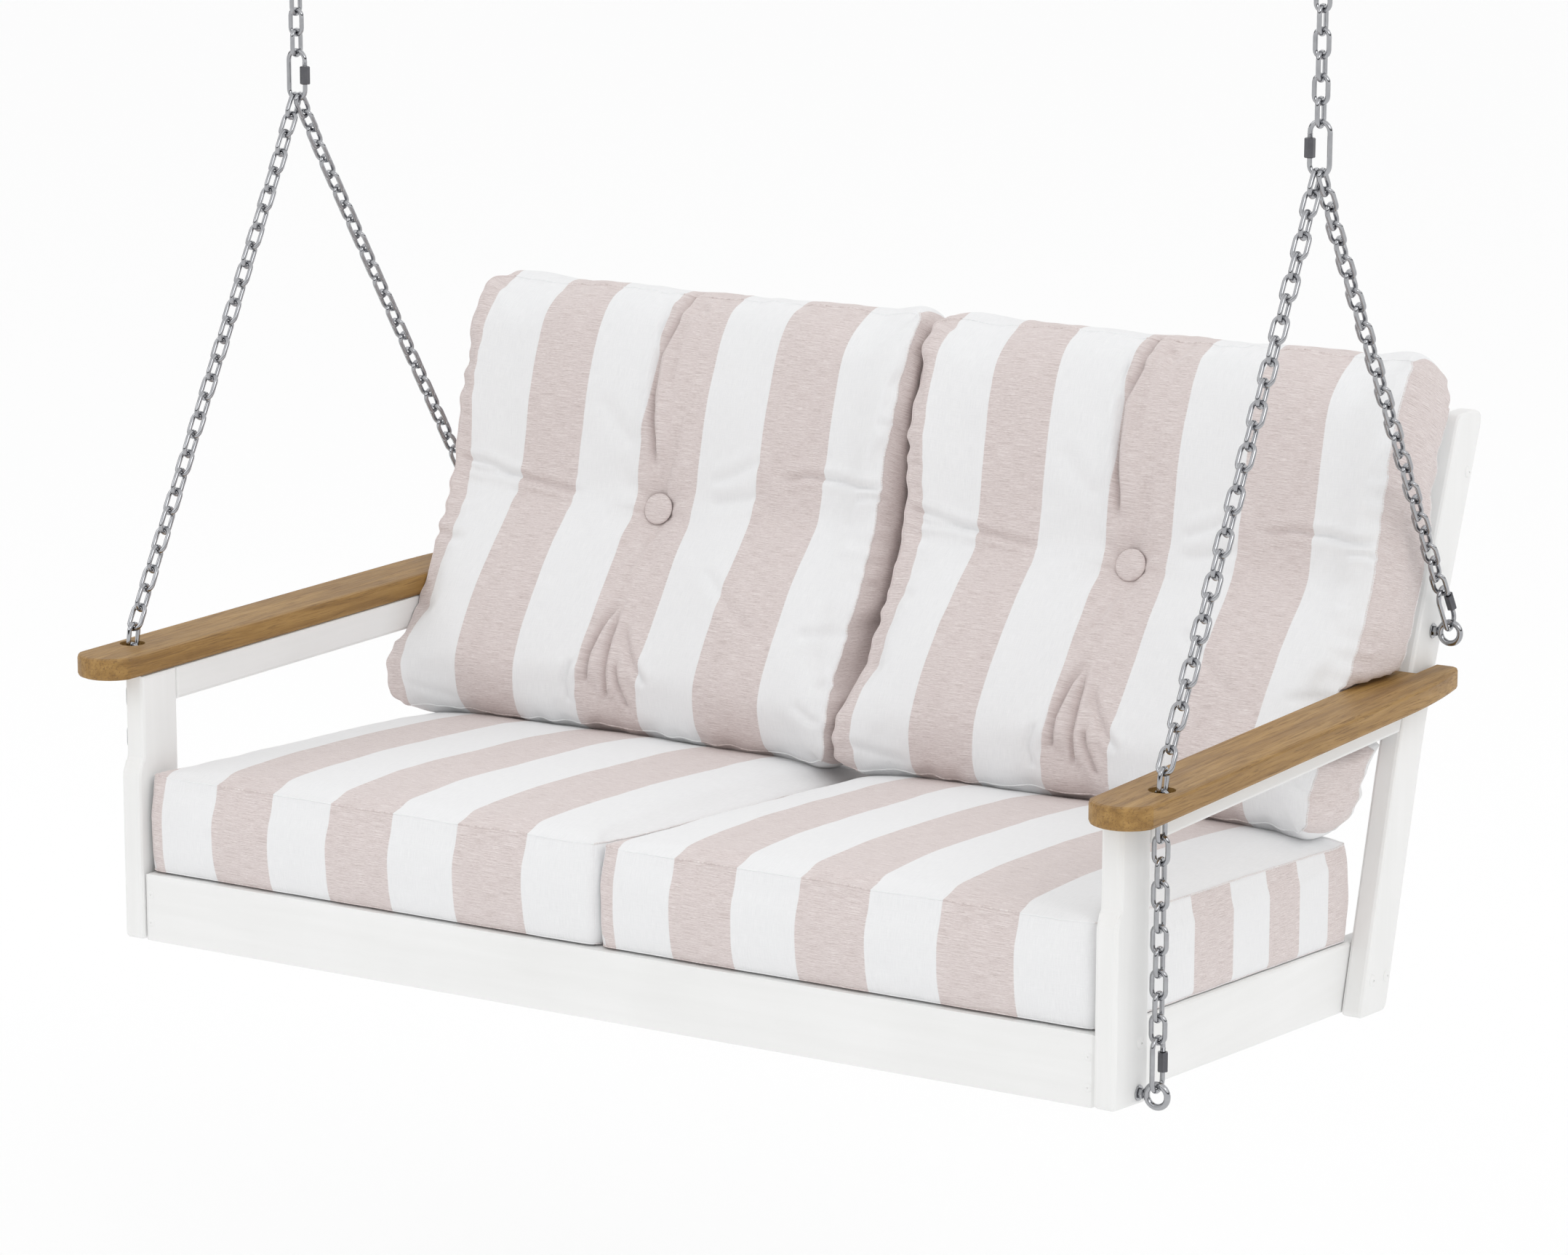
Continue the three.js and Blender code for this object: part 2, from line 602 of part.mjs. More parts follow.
function chainRun(name, x, points, bend = 0) {
  const corners = points.map(({ y, z }) => new THREE.Vector3(x, y, z));
  const path = new THREE.CurvePath();
  let from = corners[0];
  for (let i = 1; i < corners.length - 1; i += 1) {
    const before = corners[i].clone().add(from.clone().sub(corners[i]).setLength(bend));
    const after = corners[i].clone().add(corners[i + 1].clone().sub(corners[i]).setLength(bend));
    path.add(new THREE.LineCurve3(from, before));
    path.add(new THREE.QuadraticBezierCurve3(before, corners[i], after));
    from = after;
  }
  path.add(new THREE.LineCurve3(from, corners.at(-1)));
  const options = { steps: bend ? 48 : 1, bevelEnabled: false, extrudePath: path };
  add(bench, name, new THREE.ExtrudeGeometry(crossSection(), options), 'chrome');
}

function along(from, to, distance) {
  const length = Math.hypot(to.y - from.y, to.z - from.z);
  const share = distance / length;
  return { y: from.y + (to.y - from.y) * share, z: from.z + (to.z - from.z) * share };
}

// a chain link closed on itself: two bent halves joined half way along its sides
function closedLink() {
  const bend = (CHAIN_WIDTH - CHAIN_WIRE) / 2;
  const middle = CHAIN_SPAN / 2;
  const halfLink = (end) => {
    const points = [[0, middle - end * 0.4]];
    for (let i = 0; i <= 10; i += 1) {
      const a = (Math.PI * i) / 10;
      points.push([bend * (1 - Math.cos(a)), middle + end * (middle - bend + bend * Math.sin(a))]);
    }
    points.push([2 * bend, middle - end * 0.4]);
    const vectors = points.map(([y, z]) => new THREE.Vector3(0, y - bend, z));
    return rod(new THREE.CatmullRomCurve3(vectors, false, 'centripetal'), CHAIN_WIRE, 20);
  };
  return union(halfLink(1), halfLink(-1));
}

// a plate screwed to the beam, with a welded loop for the chain's top link
function hanger() {
  const plate = rounded([
    [-PLATE.width / 2, -PLATE.depth / 2, PLATE.corner], [PLATE.width / 2, -PLATE.depth / 2, PLATE.corner],
    [PLATE.width / 2, PLATE.depth / 2, PLATE.corner], [-PLATE.width / 2, PLATE.depth / 2, PLATE.corner],
  ]);
  hole(plate, -PLATE.holeX, 0, PLATE.hole);
  hole(plate, PLATE.holeX, 0, PLATE.hole);
  const flat = new THREE.ExtrudeGeometry(plate, {
    depth: PLATE.thick, bevelEnabled: false, curveSegments: 5,
  }).translate(0, 0, HOOK_DROP);
  const loop = [];
  const top = HOOK_DROP + 2;
  loop.push(new THREE.Vector3(-HOOK_HALF, 0, top));
  for (let i = 0; i <= 12; i += 1) {
    const a = Math.PI + (Math.PI * i) / 12;
    loop.push(new THREE.Vector3(HOOK_HALF * Math.cos(a), 0, HOOK_HALF + HOOK_HALF * Math.sin(a)));
  }
  loop.push(new THREE.Vector3(HOOK_HALF, 0, top));
  const curve = new THREE.CatmullRomCurve3(loop, false, 'centripetal');
  return union(flat, rod(curve, HOOK_WIRE, 22));
}

eachSide((name, sign) => {
  const x = sign * CHAIN_X;
  const apex = { y: CHAIN_Y, z: APEX_Z };
  const hook = add(bench, `ceiling_hanger_${name}`, hanger(), 'chrome');
  hook.position.set(x, CHAIN_Y, HOOK_Z);

  const topLink = add(bench, `top_link_${name}`, closedLink(), 'chrome');
  topLink.position.set(x, CHAIN_Y, SWAY_Z);

  chainRun(`upper_chain_${name}`, x, [
    { y: CHAIN_Y, z: SWAY_Z - CHAIN_WIRE / 2 - 3 },
    { y: CHAIN_Y, z: APEX_TOP_Z + QUICK_WIRE / 2 + 3 },
  ]);
  // the sleeve nuts of the two apex links face each other
  quickLink(`apex_${name}`, x, apex, { y: CHAIN_Y, z: APEX_TOP_Z }, sign < 0 ? Math.PI : 0);

  // each lower quick link hangs in the top of its eye and points along its chain
  const contact = (EYE_WIRE + QUICK_WIRE) / 2 + GAP;
  const rearFoot = along({ y: REAR_EYE.y, z: REAR_EYE.z + EYE_RADIUS }, apex, -contact);
  const frontFoot = { y: FRONT_EYE.y, z: FRONT_EYE.z + EYE_RADIUS - contact };
  const rearTop = along(rearFoot, apex, QUICK_SPAN);
  const frontTop = { y: FRONT_EYE.y, z: frontFoot.z + QUICK_SPAN };
  quickLink(`front_${name}`, x, frontFoot, frontTop, -Math.PI / 2);
  quickLink(`rear_${name}`, x, rearFoot, rearTop, -Math.PI / 2);

  const clear = QUICK_WIRE / 2 + 1.5;
  const armHole = { y: FRONT_EYE.y, z: ARM_Z + ARM_THICK + 14 };
  chainRun(`front_chain_${name}`, x, [
    along(apex, armHole, CHAIN_START),
    armHole,
    { y: FRONT_EYE.y, z: frontTop.z + clear },
  ], CHAIN_BEND);
  chainRun(`rear_chain_${name}`, x, [along(apex, REAR_EYE, CHAIN_START), along(rearTop, apex, clear)]);

  const faceX = outer + 0.5 + EYE_RADIUS + EYE_WIRE / 2 + 2;
  const frontBolt = eyeBolt(faceX - railInner + NUT_LENGTH - EYE_RADIUS + 3);
  const rearBolt = eyeBolt(faceX - inner + NUT_LENGTH - EYE_RADIUS + 3);
  const place = (geometry, label, { y, z }) => {
    const side = sign < 0 ? mirrorX(geometry) : geometry;
    add(bench, `eye_bolt_${label}_${name}`, side, 'chrome').position.set(x, y, z);
  };
  place(frontBolt, 'front', FRONT_EYE);
  place(rearBolt, 'rear', REAR_EYE);
});

swing.updateMatrixWorld(true);
export default swing;
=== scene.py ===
"""Looks of a two-seat porch swing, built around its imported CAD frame. Metres, +Z up, +Y to the back."""

import math

import bmesh
import bpy
import numpy as np
from mathutils import Matrix, Vector, noise


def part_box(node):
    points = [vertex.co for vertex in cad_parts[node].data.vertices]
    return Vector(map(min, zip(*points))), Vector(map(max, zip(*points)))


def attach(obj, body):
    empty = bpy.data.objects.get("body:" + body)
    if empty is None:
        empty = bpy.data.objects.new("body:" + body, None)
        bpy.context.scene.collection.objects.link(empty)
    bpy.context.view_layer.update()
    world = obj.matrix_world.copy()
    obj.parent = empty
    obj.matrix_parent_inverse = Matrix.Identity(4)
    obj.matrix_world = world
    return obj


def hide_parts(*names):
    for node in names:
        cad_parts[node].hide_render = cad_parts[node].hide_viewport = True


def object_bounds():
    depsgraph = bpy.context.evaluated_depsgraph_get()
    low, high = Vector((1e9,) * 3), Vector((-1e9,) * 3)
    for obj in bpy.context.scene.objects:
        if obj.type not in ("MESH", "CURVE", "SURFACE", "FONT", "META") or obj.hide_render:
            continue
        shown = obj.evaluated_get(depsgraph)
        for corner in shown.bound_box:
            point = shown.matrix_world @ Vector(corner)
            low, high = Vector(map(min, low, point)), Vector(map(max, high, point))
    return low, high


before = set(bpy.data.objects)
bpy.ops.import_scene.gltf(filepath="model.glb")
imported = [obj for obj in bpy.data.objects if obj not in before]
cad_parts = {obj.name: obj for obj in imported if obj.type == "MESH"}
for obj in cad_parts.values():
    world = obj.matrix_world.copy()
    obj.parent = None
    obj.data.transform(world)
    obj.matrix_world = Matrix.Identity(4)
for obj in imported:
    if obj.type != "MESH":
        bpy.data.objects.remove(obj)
cad_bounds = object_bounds()

MM = 0.001
SIDES = (("left", -1), ("right", 1))

# ---- the bench's own heights and depths: depth 0 at the legs' front, height 0 at the apron's foot ----
BENCH_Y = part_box("front_leg_right")[0][1]
BENCH_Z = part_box("front_apron")[0][2]


def bench(x, y, z):
    """a place given in the bench's millimetres, in the frame's metres"""
    return Vector((x * MM, BENCH_Y + y * MM, BENCH_Z + z * MM))


def centre(node):
    low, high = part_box(node)
    return (Vector(low) + Vector(high)) / 2


# ---- materials ----
class Nodes:
    """short-hand for a node tree"""

    def __init__(self, tree):
        self.tree = tree

    def add(self, kind, **values):
        node = self.tree.nodes.new(kind)
        for key, value in values.items():
            setattr(node, key, value)
        return node

    def link(self, a, b):
        self.tree.links.new(a, b)

    def put(self, socket, value):
        if isinstance(value, bpy.types.NodeSocket):
            self.link(value, socket)
        else:
            socket.default_value = value

    def math(self, operation, *values):
        node = self.add("ShaderNodeMath", operation=operation)
        for socket, value in zip(node.inputs, values):
            self.put(socket, value)
        return node.outputs[0]

    def mix(self, factor, a, b):
        node = self.add("ShaderNodeMix", data_type="RGBA")
        for socket, value in ((0, factor), (6, a), (7, b)):
            self.put(node.inputs[socket], value)
        return node.outputs[2]

    def ramp(self, value, *stops):
        node = self.add("ShaderNodeValToRGB")
        elements = node.color_ramp.elements
        while len(elements) < len(stops):
            elements.new(0.5)
        for element, (place, colour) in zip(elements, stops):
            element.position = place
            element.color = (*colour, 1)
        self.put(node.inputs[0], value)
        return node.outputs[0]

    def range(self, value, low, high, to_low=0.0, to_high=1.0):
        node = self.add("ShaderNodeMapRange")
        for socket, number in zip(node.inputs, (value, low, high, to_low, to_high)):
            self.put(socket, number)
        return node.outputs[0]

    def place(self, scale=(1, 1, 1), source=None):
        """the frame's own coordinates, or another source, stretched"""
        if source is None:
            source = self.add("ShaderNodeTexCoord").outputs["Object"]
        node = self.add("ShaderNodeMapping")
        self.link(source, node.inputs[0])
        node.inputs["Scale"].default_value = scale
        return node.outputs[0]

    def noise(self, vector, scale, detail, rough=0.55, distortion=0.0):
        node = self.add("ShaderNodeTexNoise")
        self.link(vector, node.inputs["Vector"])
        fixed = {"Scale": scale, "Detail": detail, "Roughness": rough, "Distortion": distortion}
        for key, value in fixed.items():
            node.inputs[key].default_value = value
        return node.outputs[0]

    def bump(self, height, strength, distance, under=None):
        node = self.add("ShaderNodeBump")
        node.inputs["Strength"].default_value = strength
        node.inputs["Distance"].default_value = distance
        self.link(height, node.inputs["Height"])
        if under is not None:
            self.link(under, node.inputs["Normal"])
        return node.outputs[0]

    def split(self, vector):
        node = self.add("ShaderNodeSeparateXYZ")
        self.link(vector, node.inputs[0])
        return node.outputs


class Material(Nodes):
    def __init__(self, name):
        self.mat = bpy.data.materials.new(name)
        self.mat.use_nodes = True
        super().__init__(self.mat.node_tree)
        self.tree.nodes.clear()
        self.shader = self.add("ShaderNodeBsdfPrincipled")
        self.link(self.shader.outputs[0], self.add("ShaderNodeOutputMaterial").inputs[0])

    def finish(self, colour, rough, normal=None, metallic=0.0, **fixed):
        self.put(self.shader.inputs["Base Color"], colour)
        self.put(self.shader.inputs["Roughness"], rough)
        self.shader.inputs["Metallic"].default_value = metallic
        for key, value in fixed.items():
            self.shader.inputs[key.replace("_", " ")].default_value = value
        if normal is not None:
            self.link(normal, self.shader.inputs["Normal"])
        return self.mat


def board_material(name, stretch):
    """white plastic lumber: faint mottling drawn out along the board, satin skin with fine pits"""
    n = Material(name)
    coords = n.place(stretch)
    streak = n.noise(coords, 60, 5, 0.6)
    cloud = n.noise(n.place(), 7, 2, 0.5)
    speck = n.noise(n.place(), 900, 2, 0.6)
    tone = n.mix(0.5, n.ramp(streak, (0.3, (0.80, 0.80, 0.79)), (0.75, (0.87, 0.87, 0.865))),
                 n.ramp(cloud, (0.3, (0.81, 0.81, 0.80)), (0.7, (0.87, 0.87, 0.865))))
    dirt = n.range(speck, 0.66, 0.78)
    colour = n.mix(n.math("MULTIPLY", dirt, 0.12), tone, (0.55, 0.55, 0.53, 1))
    rough = n.range(streak, 0.3, 0.7, 0.42, 0.56)
    low = n.bump(streak, 0.25, 0.0004)
    pits = n.bump(n.noise(n.place(), 420, 4, 0.65), 0.22, 0.00025, low)
    return n.finish(colour, rough, pits, Specular_IOR_Level=0.45)


def arm_material():
    """brown plastic lumber with a pressed, streaky grain that runs along the arm"""
    n = Material("arm_grain")
    wander = n.noise(n.place((6, 1.2, 6)), 3, 2, 0.5)
    source = n.add("ShaderNodeTexCoord").outputs["Object"]
    shift = n.add("ShaderNodeVectorMath", operation="MULTIPLY_ADD")
    n.link(wander, shift.inputs[0])
    shift.inputs[1].default_value = (0.02, 0.0, 0.02)
    n.link(source, shift.inputs[2])
    bent = shift.outputs[0]
    broad = n.noise(n.place((1, 0.05, 1), source=bent), 95, 3, 0.55, 0.4)
    grain = n.noise(n.place((1, 0.035, 1), source=bent), 420, 5, 0.7, 0.6)
    pore = n.noise(n.place((1, 0.03, 1), source=bent), 1500, 3, 0.7)
    base = n.ramp(broad, (0.32, (0.240, 0.128, 0.034)), (0.5, (0.318, 0.178, 0.049)),
                  (0.68, (0.388, 0.226, 0.068)))
    dark = n.range(grain, 0.50, 0.64, 0.0, 0.75)
    toned = n.mix(dark, base, (0.165, 0.086, 0.030, 1))
    light = n.range(pore, 0.55, 0.70, 0.0, 0.35)
    colour = n.mix(light, toned, (0.46, 0.290, 0.098, 1))
    rough = n.range(grain, 0.35, 0.7, 0.40, 0.58)
    low = n.bump(grain, 0.35, 0.0004)
    fine = n.bump(pore, 0.25, 0.0002, low)
    return n.finish(colour, rough, fine, Specular_IOR_Level=0.4)


def metal_material(name, tone, rough_low, rough_high):
    """plated steel: smooth, with faint wiping marks and small dull spots"""
    n = Material(name)
    marks = n.noise(n.place((1, 1, 0.25)), 700, 4, 0.6)
    cloud = n.noise(n.place(), 90, 3, 0.6)
    dull = (tone[0] * 0.86, tone[1] * 0.86, tone[2] * 0.87, 1)
    colour = n.mix(n.range(cloud, 0.35, 0.7), tone, dull)
    rough = n.range(marks, 0.35, 0.7, rough_low, rough_high)
    return n.finish(colour, rough, n.bump(marks, 0.08, 0.0001), metallic=1.0)


WHITE_CLOTH = (0.868, 0.870, 0.876)
BLUSH = (0.690, 0.612, 0.596)
# distances from a cushion's left edge to where its stripes change, in metres
STRIPE_EDGES = [0.022, 0.0955, 0.174, 0.2545, 0.340, 0.4275, 0.5195, 0.611]
STRIPE_BLEND = 0.0004
THREAD_PITCH = 0.0007


def cloth_material(name, swap=False, start=0.0):
    """woven outdoor cloth. The map 'cloth' holds metres across the stripes and along them."""
    n = Material(name)
    uv = n.add("ShaderNodeUVMap", uv_map="cloth").outputs[0]
    across, along, _ = n.split(uv)
    # ragged stripe edges: single threads end a fraction of a millimetre early or late
    fray = n.noise(n.place((60, 1600, 1), source=uv), 1, 2, 0.6)
    stray = n.math("MULTIPLY", n.math("SUBTRACT", fray, 0.5), 0.0016)
    place = n.math("ADD", n.math("ADD", across, start), stray)
    pink = None
    for i in range(0, len(STRIPE_EDGES) + 1, 2):
        low = STRIPE_EDGES[i - 1] if i else -1.0
        high = STRIPE_EDGES[i] if i < len(STRIPE_EDGES) else 2.0
        inside = n.math("MULTIPLY", n.range(place, low - STRIPE_BLEND, low + STRIPE_BLEND),
                        n.range(place, high - STRIPE_BLEND, high + STRIPE_BLEND, 1.0, 0.0))
        pink = inside if pink is None else n.math("MAXIMUM", pink, inside)
    if swap:
        pink = n.math("SUBTRACT", 1.0, pink)
    # heather: weft threads of slightly different dye, each a few centimetres long
    thread = n.noise(n.place((45, 1500, 1), source=uv), 1, 3, 0.7)
    fine = n.noise(n.place((220, 2600, 1), source=uv), 1, 2, 0.7)
    warp = n.noise(n.place((1800, 60, 1), source=uv), 1, 2, 0.6)
    heather = n.math("ADD", n.math("MULTIPLY", thread, 0.6), n.math("MULTIPLY", fine, 0.4))
    blush = n.ramp(heather, (0.36, (0.500, 0.420, 0.405)), (0.50, BLUSH), (0.63, (0.830, 0.775, 0.760)))
    white = n.ramp(n.math("ADD", n.math("MULTIPLY", heather, 0.5), n.math("MULTIPLY", warp, 0.5)),
                   (0.38, (0.800, 0.803, 0.812)), (0.60, WHITE_CLOTH))
    colour = n.mix(pink, white, blush)
    # plain weave
    pitch = 2 * math.pi / THREAD_PITCH
    weave = n.math("MULTIPLY", n.math("SINE", n.math("MULTIPLY", across, pitch)),
                   n.math("SINE", n.math("MULTIPLY", along, pitch)))
    slub = n.bump(n.math("ADD", thread, warp), 0.25, 0.0004)
    normal = n.bump(weave, 0.30, 0.00018, slub)
    rough = n.range(heather, 0.3, 0.7, 0.86, 0.96)
    return n.finish(colour, rough, normal, Sheen_Weight=0.18, Sheen_Roughness=0.5, Specular_IOR_Level=0.25)


white_y = board_material("white_board_deep", (1, 0.06, 1))
white_x = board_material("white_board_wide", (0.06, 1, 1))
white_z = board_material("white_board_tall", (1, 1, 0.06))
arm_brown = arm_material()
bright = metal_material("bright_plate", (0.41, 0.415, 0.43, 1), 0.05, 0.12)
nut_metal = metal_material("nut_plate", (0.13, 0.13, 0.14, 1), 0.14, 0.28)
cloth = cloth_material("striped_cloth")
cloth_back = cloth_material("striped_cloth_rear", swap=True)
cloth_button = cloth_material("button_cloth", start=-0.5)


# ---- mesh construction ----
def circle(place, across, up, radius, count):
    turns = (2 * math.pi * k / count for k in range(count))
    return [place + (across * math.cos(t) + up * math.sin(t)) * radius for t in turns]


class Builder:
    """gathers closed pieces of mesh, then makes them one object"""

    def __init__(self):
        self.verts, self.faces = [], []

    def add(self, verts, faces):
        base = len(self.verts)
        self.verts.extend(Vector(v) for v in verts)
        self.faces.extend([base + i for i in face] for face in faces)

    def rings(self, rings, closed=False):
        """skins a list of equal rings; open ends are filled"""
        count, size = len(rings), len(rings[0])
        verts = [v for ring in rings for v in ring]
        faces = []
        for r in range(count if closed else count - 1):
            a, b = r * size, ((r + 1) % count) * size
            for i in range(size):
                j = (i + 1) % size
                faces.append([a + i, a + j, b + j, b + i])
        if not closed:
            faces.append(list(range(size))[::-1])
            faces.append([(count - 1) * size + i for i in range(size)])
        self.add(verts, faces)

    def tube(self, path, radius, sides=12, closed=False, side=None):
        """a round rod along a path that lies in one plane. side is square to that plane."""
        count = len(path)
        rings = []
        for i, p in enumerate(path):
            before = path[(i - 1) % count] if closed or i else p
            after = path[(i + 1) % count] if closed or i < count - 1 else p
            tangent = (after - before).normalized()
            across = tangent.cross(side).normalized()
            rings.append(circle(p, across, side, radius, sides))
        self.rings(rings, closed)

    def lathe(self, profile, place, axis, sides=32):
        """profile: (radius, height) from the axis back to the axis"""
        spin = Vector((0, 0, 1)).rotation_difference(Vector(axis)).to_matrix()
        start, end = profile[0], profile[-1]
        rings = [[place + spin @ Vector((r * math.cos(2 * math.pi * k / sides),
                                         r * math.sin(2 * math.pi * k / sides), h))
                  for k in range(sides)] for r, h in profile[1:-1]]
        count = len(rings)
        verts = [v for ring in rings for v in ring]
        verts += [place + spin @ Vector((0, 0, start[1])), place + spin @ Vector((0, 0, end[1]))]
        faces = []
        for r in range(count - 1):
            for i in range(sides):
                j = (i + 1) % sides
                faces.append([r * sides + i, r * sides + j, (r + 1) * sides + j, (r + 1) * sides + i])
        for i in range(sides):
            j = (i + 1) % sides
            faces.append([count * sides, j, i])
            faces.append([count * sides + 1, (count - 1) * sides + i, (count - 1) * sides + j])
        self.add(verts, faces)

    def prism(self, rises, place, axis, across, bore=0.0):
        """a nut: a hexagon drawn at several (radius, height), with an optional bore"""
        axis, across = Vector(axis).normalized(), Vector(across).normalized()
        if bore:
            rises = [*rises, (bore, rises[-1][1]), (bore, rises[0][1])]
        up = axis.cross(across)
        self.rings([circle(place + axis * height, across, up, radius, 6) for radius, height in rises],
                   closed=bore > 0)

    def make(self, name, material, body, replaces=(), smooth=40):
        mesh = bpy.data.meshes.new(name)
        mesh.from_pydata([tuple(v) for v in self.verts], [], self.faces)
        mesh.materials.append(material)
        work = bmesh.new()
        work.from_mesh(mesh)
        bmesh.ops.recalc_face_normals(work, faces=work.faces)
        work.to_mesh(mesh)
        work.free()
        obj = new_object(name, mesh)
        soften(obj, smooth)
        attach(obj, body)
        if replaces:
            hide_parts(*replaces)
        return obj


def mm(*pairs):
    """(radius, height) pairs given in millimetres"""
    return [(radius * MM, height * MM) for radius, height in pairs]


def new_object(name, data):
    obj = bpy.data.objects.new(name, data)
    bpy.context.scene.collection.objects.link(obj)
    return obj


def lay_cloth(obj, uvs):
    """the cloth map, from one pair for each vertex"""
    layer = obj.data.uv_layers.new(name="cloth")
    for loop in obj.data.loops:
        layer.data[loop.index].uv = uvs[loop.vertex_index]


def soften(obj, degrees):
    """smooth shading, with edges sharper than the angle kept"""
    mesh = obj.data
    mesh.polygons.foreach_set("use_smooth", [True] * len(mesh.polygons))
    mesh.set_sharp_from_angle(angle=math.radians(degrees))


def stadium(place, along, across, half_length, half_width, bend_steps=10):
    """the centre line of a chain link. half_length reaches the middle of its end bars."""
    straight = half_length - half_width
    points = []
    for end in (1, -1):
        for i in range(bend_steps + 1):
            turn = math.pi * i / bend_steps
            points.append(place + along * end * (straight + half_width * math.sin(turn))
                          + across * end * half_width * math.cos(turn))
    return points


X, Y, Z = Vector((1, 0, 0)), Vector((0, 1, 0)), Vector((0, 0, 1))
CHAIN_R = 2.65 * MM
LINK_HALF_LENGTH = 14.65 * MM
LINK_HALF_WIDTH = 7.85 * MM
QUICK_R = 2.75 * MM
QUICK_BEND = 11.5 * MM
QUICK_SPAN = 56.8 * MM
EYE_R = 12 * MM
EYE_WIRE_R = 3.5 * MM
HOOK_R, HOOK_WIRE_R = 17 * MM, 4 * MM
PLATE_CORNER, SCREW_X = 8 * MM, 34 * MM


def chain_link(builder, start, end, across):
    along = (end - start).normalized()
    side = along.cross(across).normalized()
    path = stadium((start + end) / 2, along, across, LINK_HALF_LENGTH, LINK_HALF_WIDTH)
    builder.tube(path, CHAIN_R, 12, True, side)


def walk(route, count):
    """count + 1 places at equal steps along a route of straight pieces"""
    lengths = [(b - a).length for a, b in zip(route, route[1:])]
    total = sum(lengths)
    places = []
    for i in range(count + 1):
        goal = total * i / count
        for a, length, b in zip(route, lengths, route[1:]):
            if goal <= length or b is route[-1]:
                places.append(a.lerp(b, goal / length))
                break
            goal -= length
    return places


def chain(name, route, count, body, node, slide=0.0):
    """links from bar to bar. The first lies in the plane square to X, the next across it, and so on."""
    builder = Builder()
    places = walk(route, count)
    for i in range(count):
        start, end = places[i], places[i + 1]
        along = (end - start).normalized()
        square = along.cross(X).normalized()
        aside = X * slide * max(0.0, 1 - i / 3)
        chain_link(builder, start + aside, end + aside, X if i % 2 else square)
    return builder.make(name, bright, body, [node])


def quick_path(foot, along, across):
    """centre line of a quick link, closed inside its nut. The nut's bar is on the -across side."""
    middle = foot + along * QUICK_SPAN / 2
    return stadium(middle, along, across, QUICK_SPAN / 2, QUICK_BEND, 14)


def nut_rises(narrow, wide, low, high, chamfer):
    """a nut's outline, chamfered at both ends, from millimetres"""
    return mm((narrow, low), (wide, low + chamfer), (wide, high - chamfer), (narrow, high))


def quick_link(label, foot, along, across, body):
    side = along.cross(across).normalized()
    link = Builder()
    link.tube(quick_path(foot, along, across), QUICK_R, 14, True, side)
    bar = foot - across * QUICK_BEND
    for i in range(4):      # thread that shows past the nut
        at = bar + along * (QUICK_SPAN / 2 + 11.6 * MM + i * 1.1 * MM)
        link.lathe(mm((0, -0.5), (2.75, -0.5), (3.05, 0), (2.75, 0.5), (0, 0.5)), at, along, 16)
    link.make("link_" + label, bright, body, ["quick_link_" + label])
    nut = Builder()
    nut.prism(nut_rises(5.2, 5.9, -10.5, 10.5, 0.8), bar + along * QUICK_SPAN / 2, along, side,
              QUICK_R + 0.9 * MM)
    node = "sleeve_nut_" + label
    nut.make("nut_" + label, nut_metal, node, [node], 25)


def washer(builder, place, axis):
    builder.lathe(mm((0, 0), (8.2, 0), (8.5, 0.3), (8.5, 1.2), (8.2, 1.5), (0, 1.5)), place, axis, 28)


def eye_bolt(label, sign, outer_face, inner_face):
    """ring, shank, washers and nuts of one eye bolt"""
    node = "eye_bolt_" + label
    low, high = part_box(node)
    place = centre(node)
    place.x = sign * (max(abs(low[0]), abs(high[0])) - EYE_R - EYE_WIRE_R)
    out = X * sign
    b = Builder()
    b.tube(circle(place, X, Z, EYE_R, 36), EYE_WIRE_R, 14, True, Y)

    def at(x):
        return Vector((sign * x, place.y, place.z))

    start = abs(place.x) - EYE_R
    length = start - inner_face + 10 * MM
    b.lathe([(0, 0), (3 * MM, 0), (3 * MM, length - 1 * MM), (2.2 * MM, length), (0, length)],
            at(start), -out, 20)
    for face, way, narrow, wide, thick in ((outer_face, 1, 5.0, 5.7, 4.7), (inner_face, -1, 5.7, 6.5, 5.7)):
        washer(b, at(face + way * 0.1 * MM), out * way)
        b.prism(nut_rises(narrow, wide, 0, thick, 0.5), at(face + way * 1.7 * MM), out * way, Y)
    b.make("eye_" + label, bright, "seat", [node])
    return place


# ---- boards and arms ----
for name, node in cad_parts.items():
    if node.hide_render:
        continue
    if name.startswith("arm_") and "rail" not in name:
        material = arm_brown
    elif name in ("front_apron", "top_back_rail", "rear_seat_rail") or name.startswith("seat_slat"):
        material = white_x
    elif name.startswith(("front_leg", "back_post", "back_slat")):
        material = white_z
    else:
        material = white_y
    node.data.materials.clear()
    node.data.materials.append(material)
    soften(node, 28)

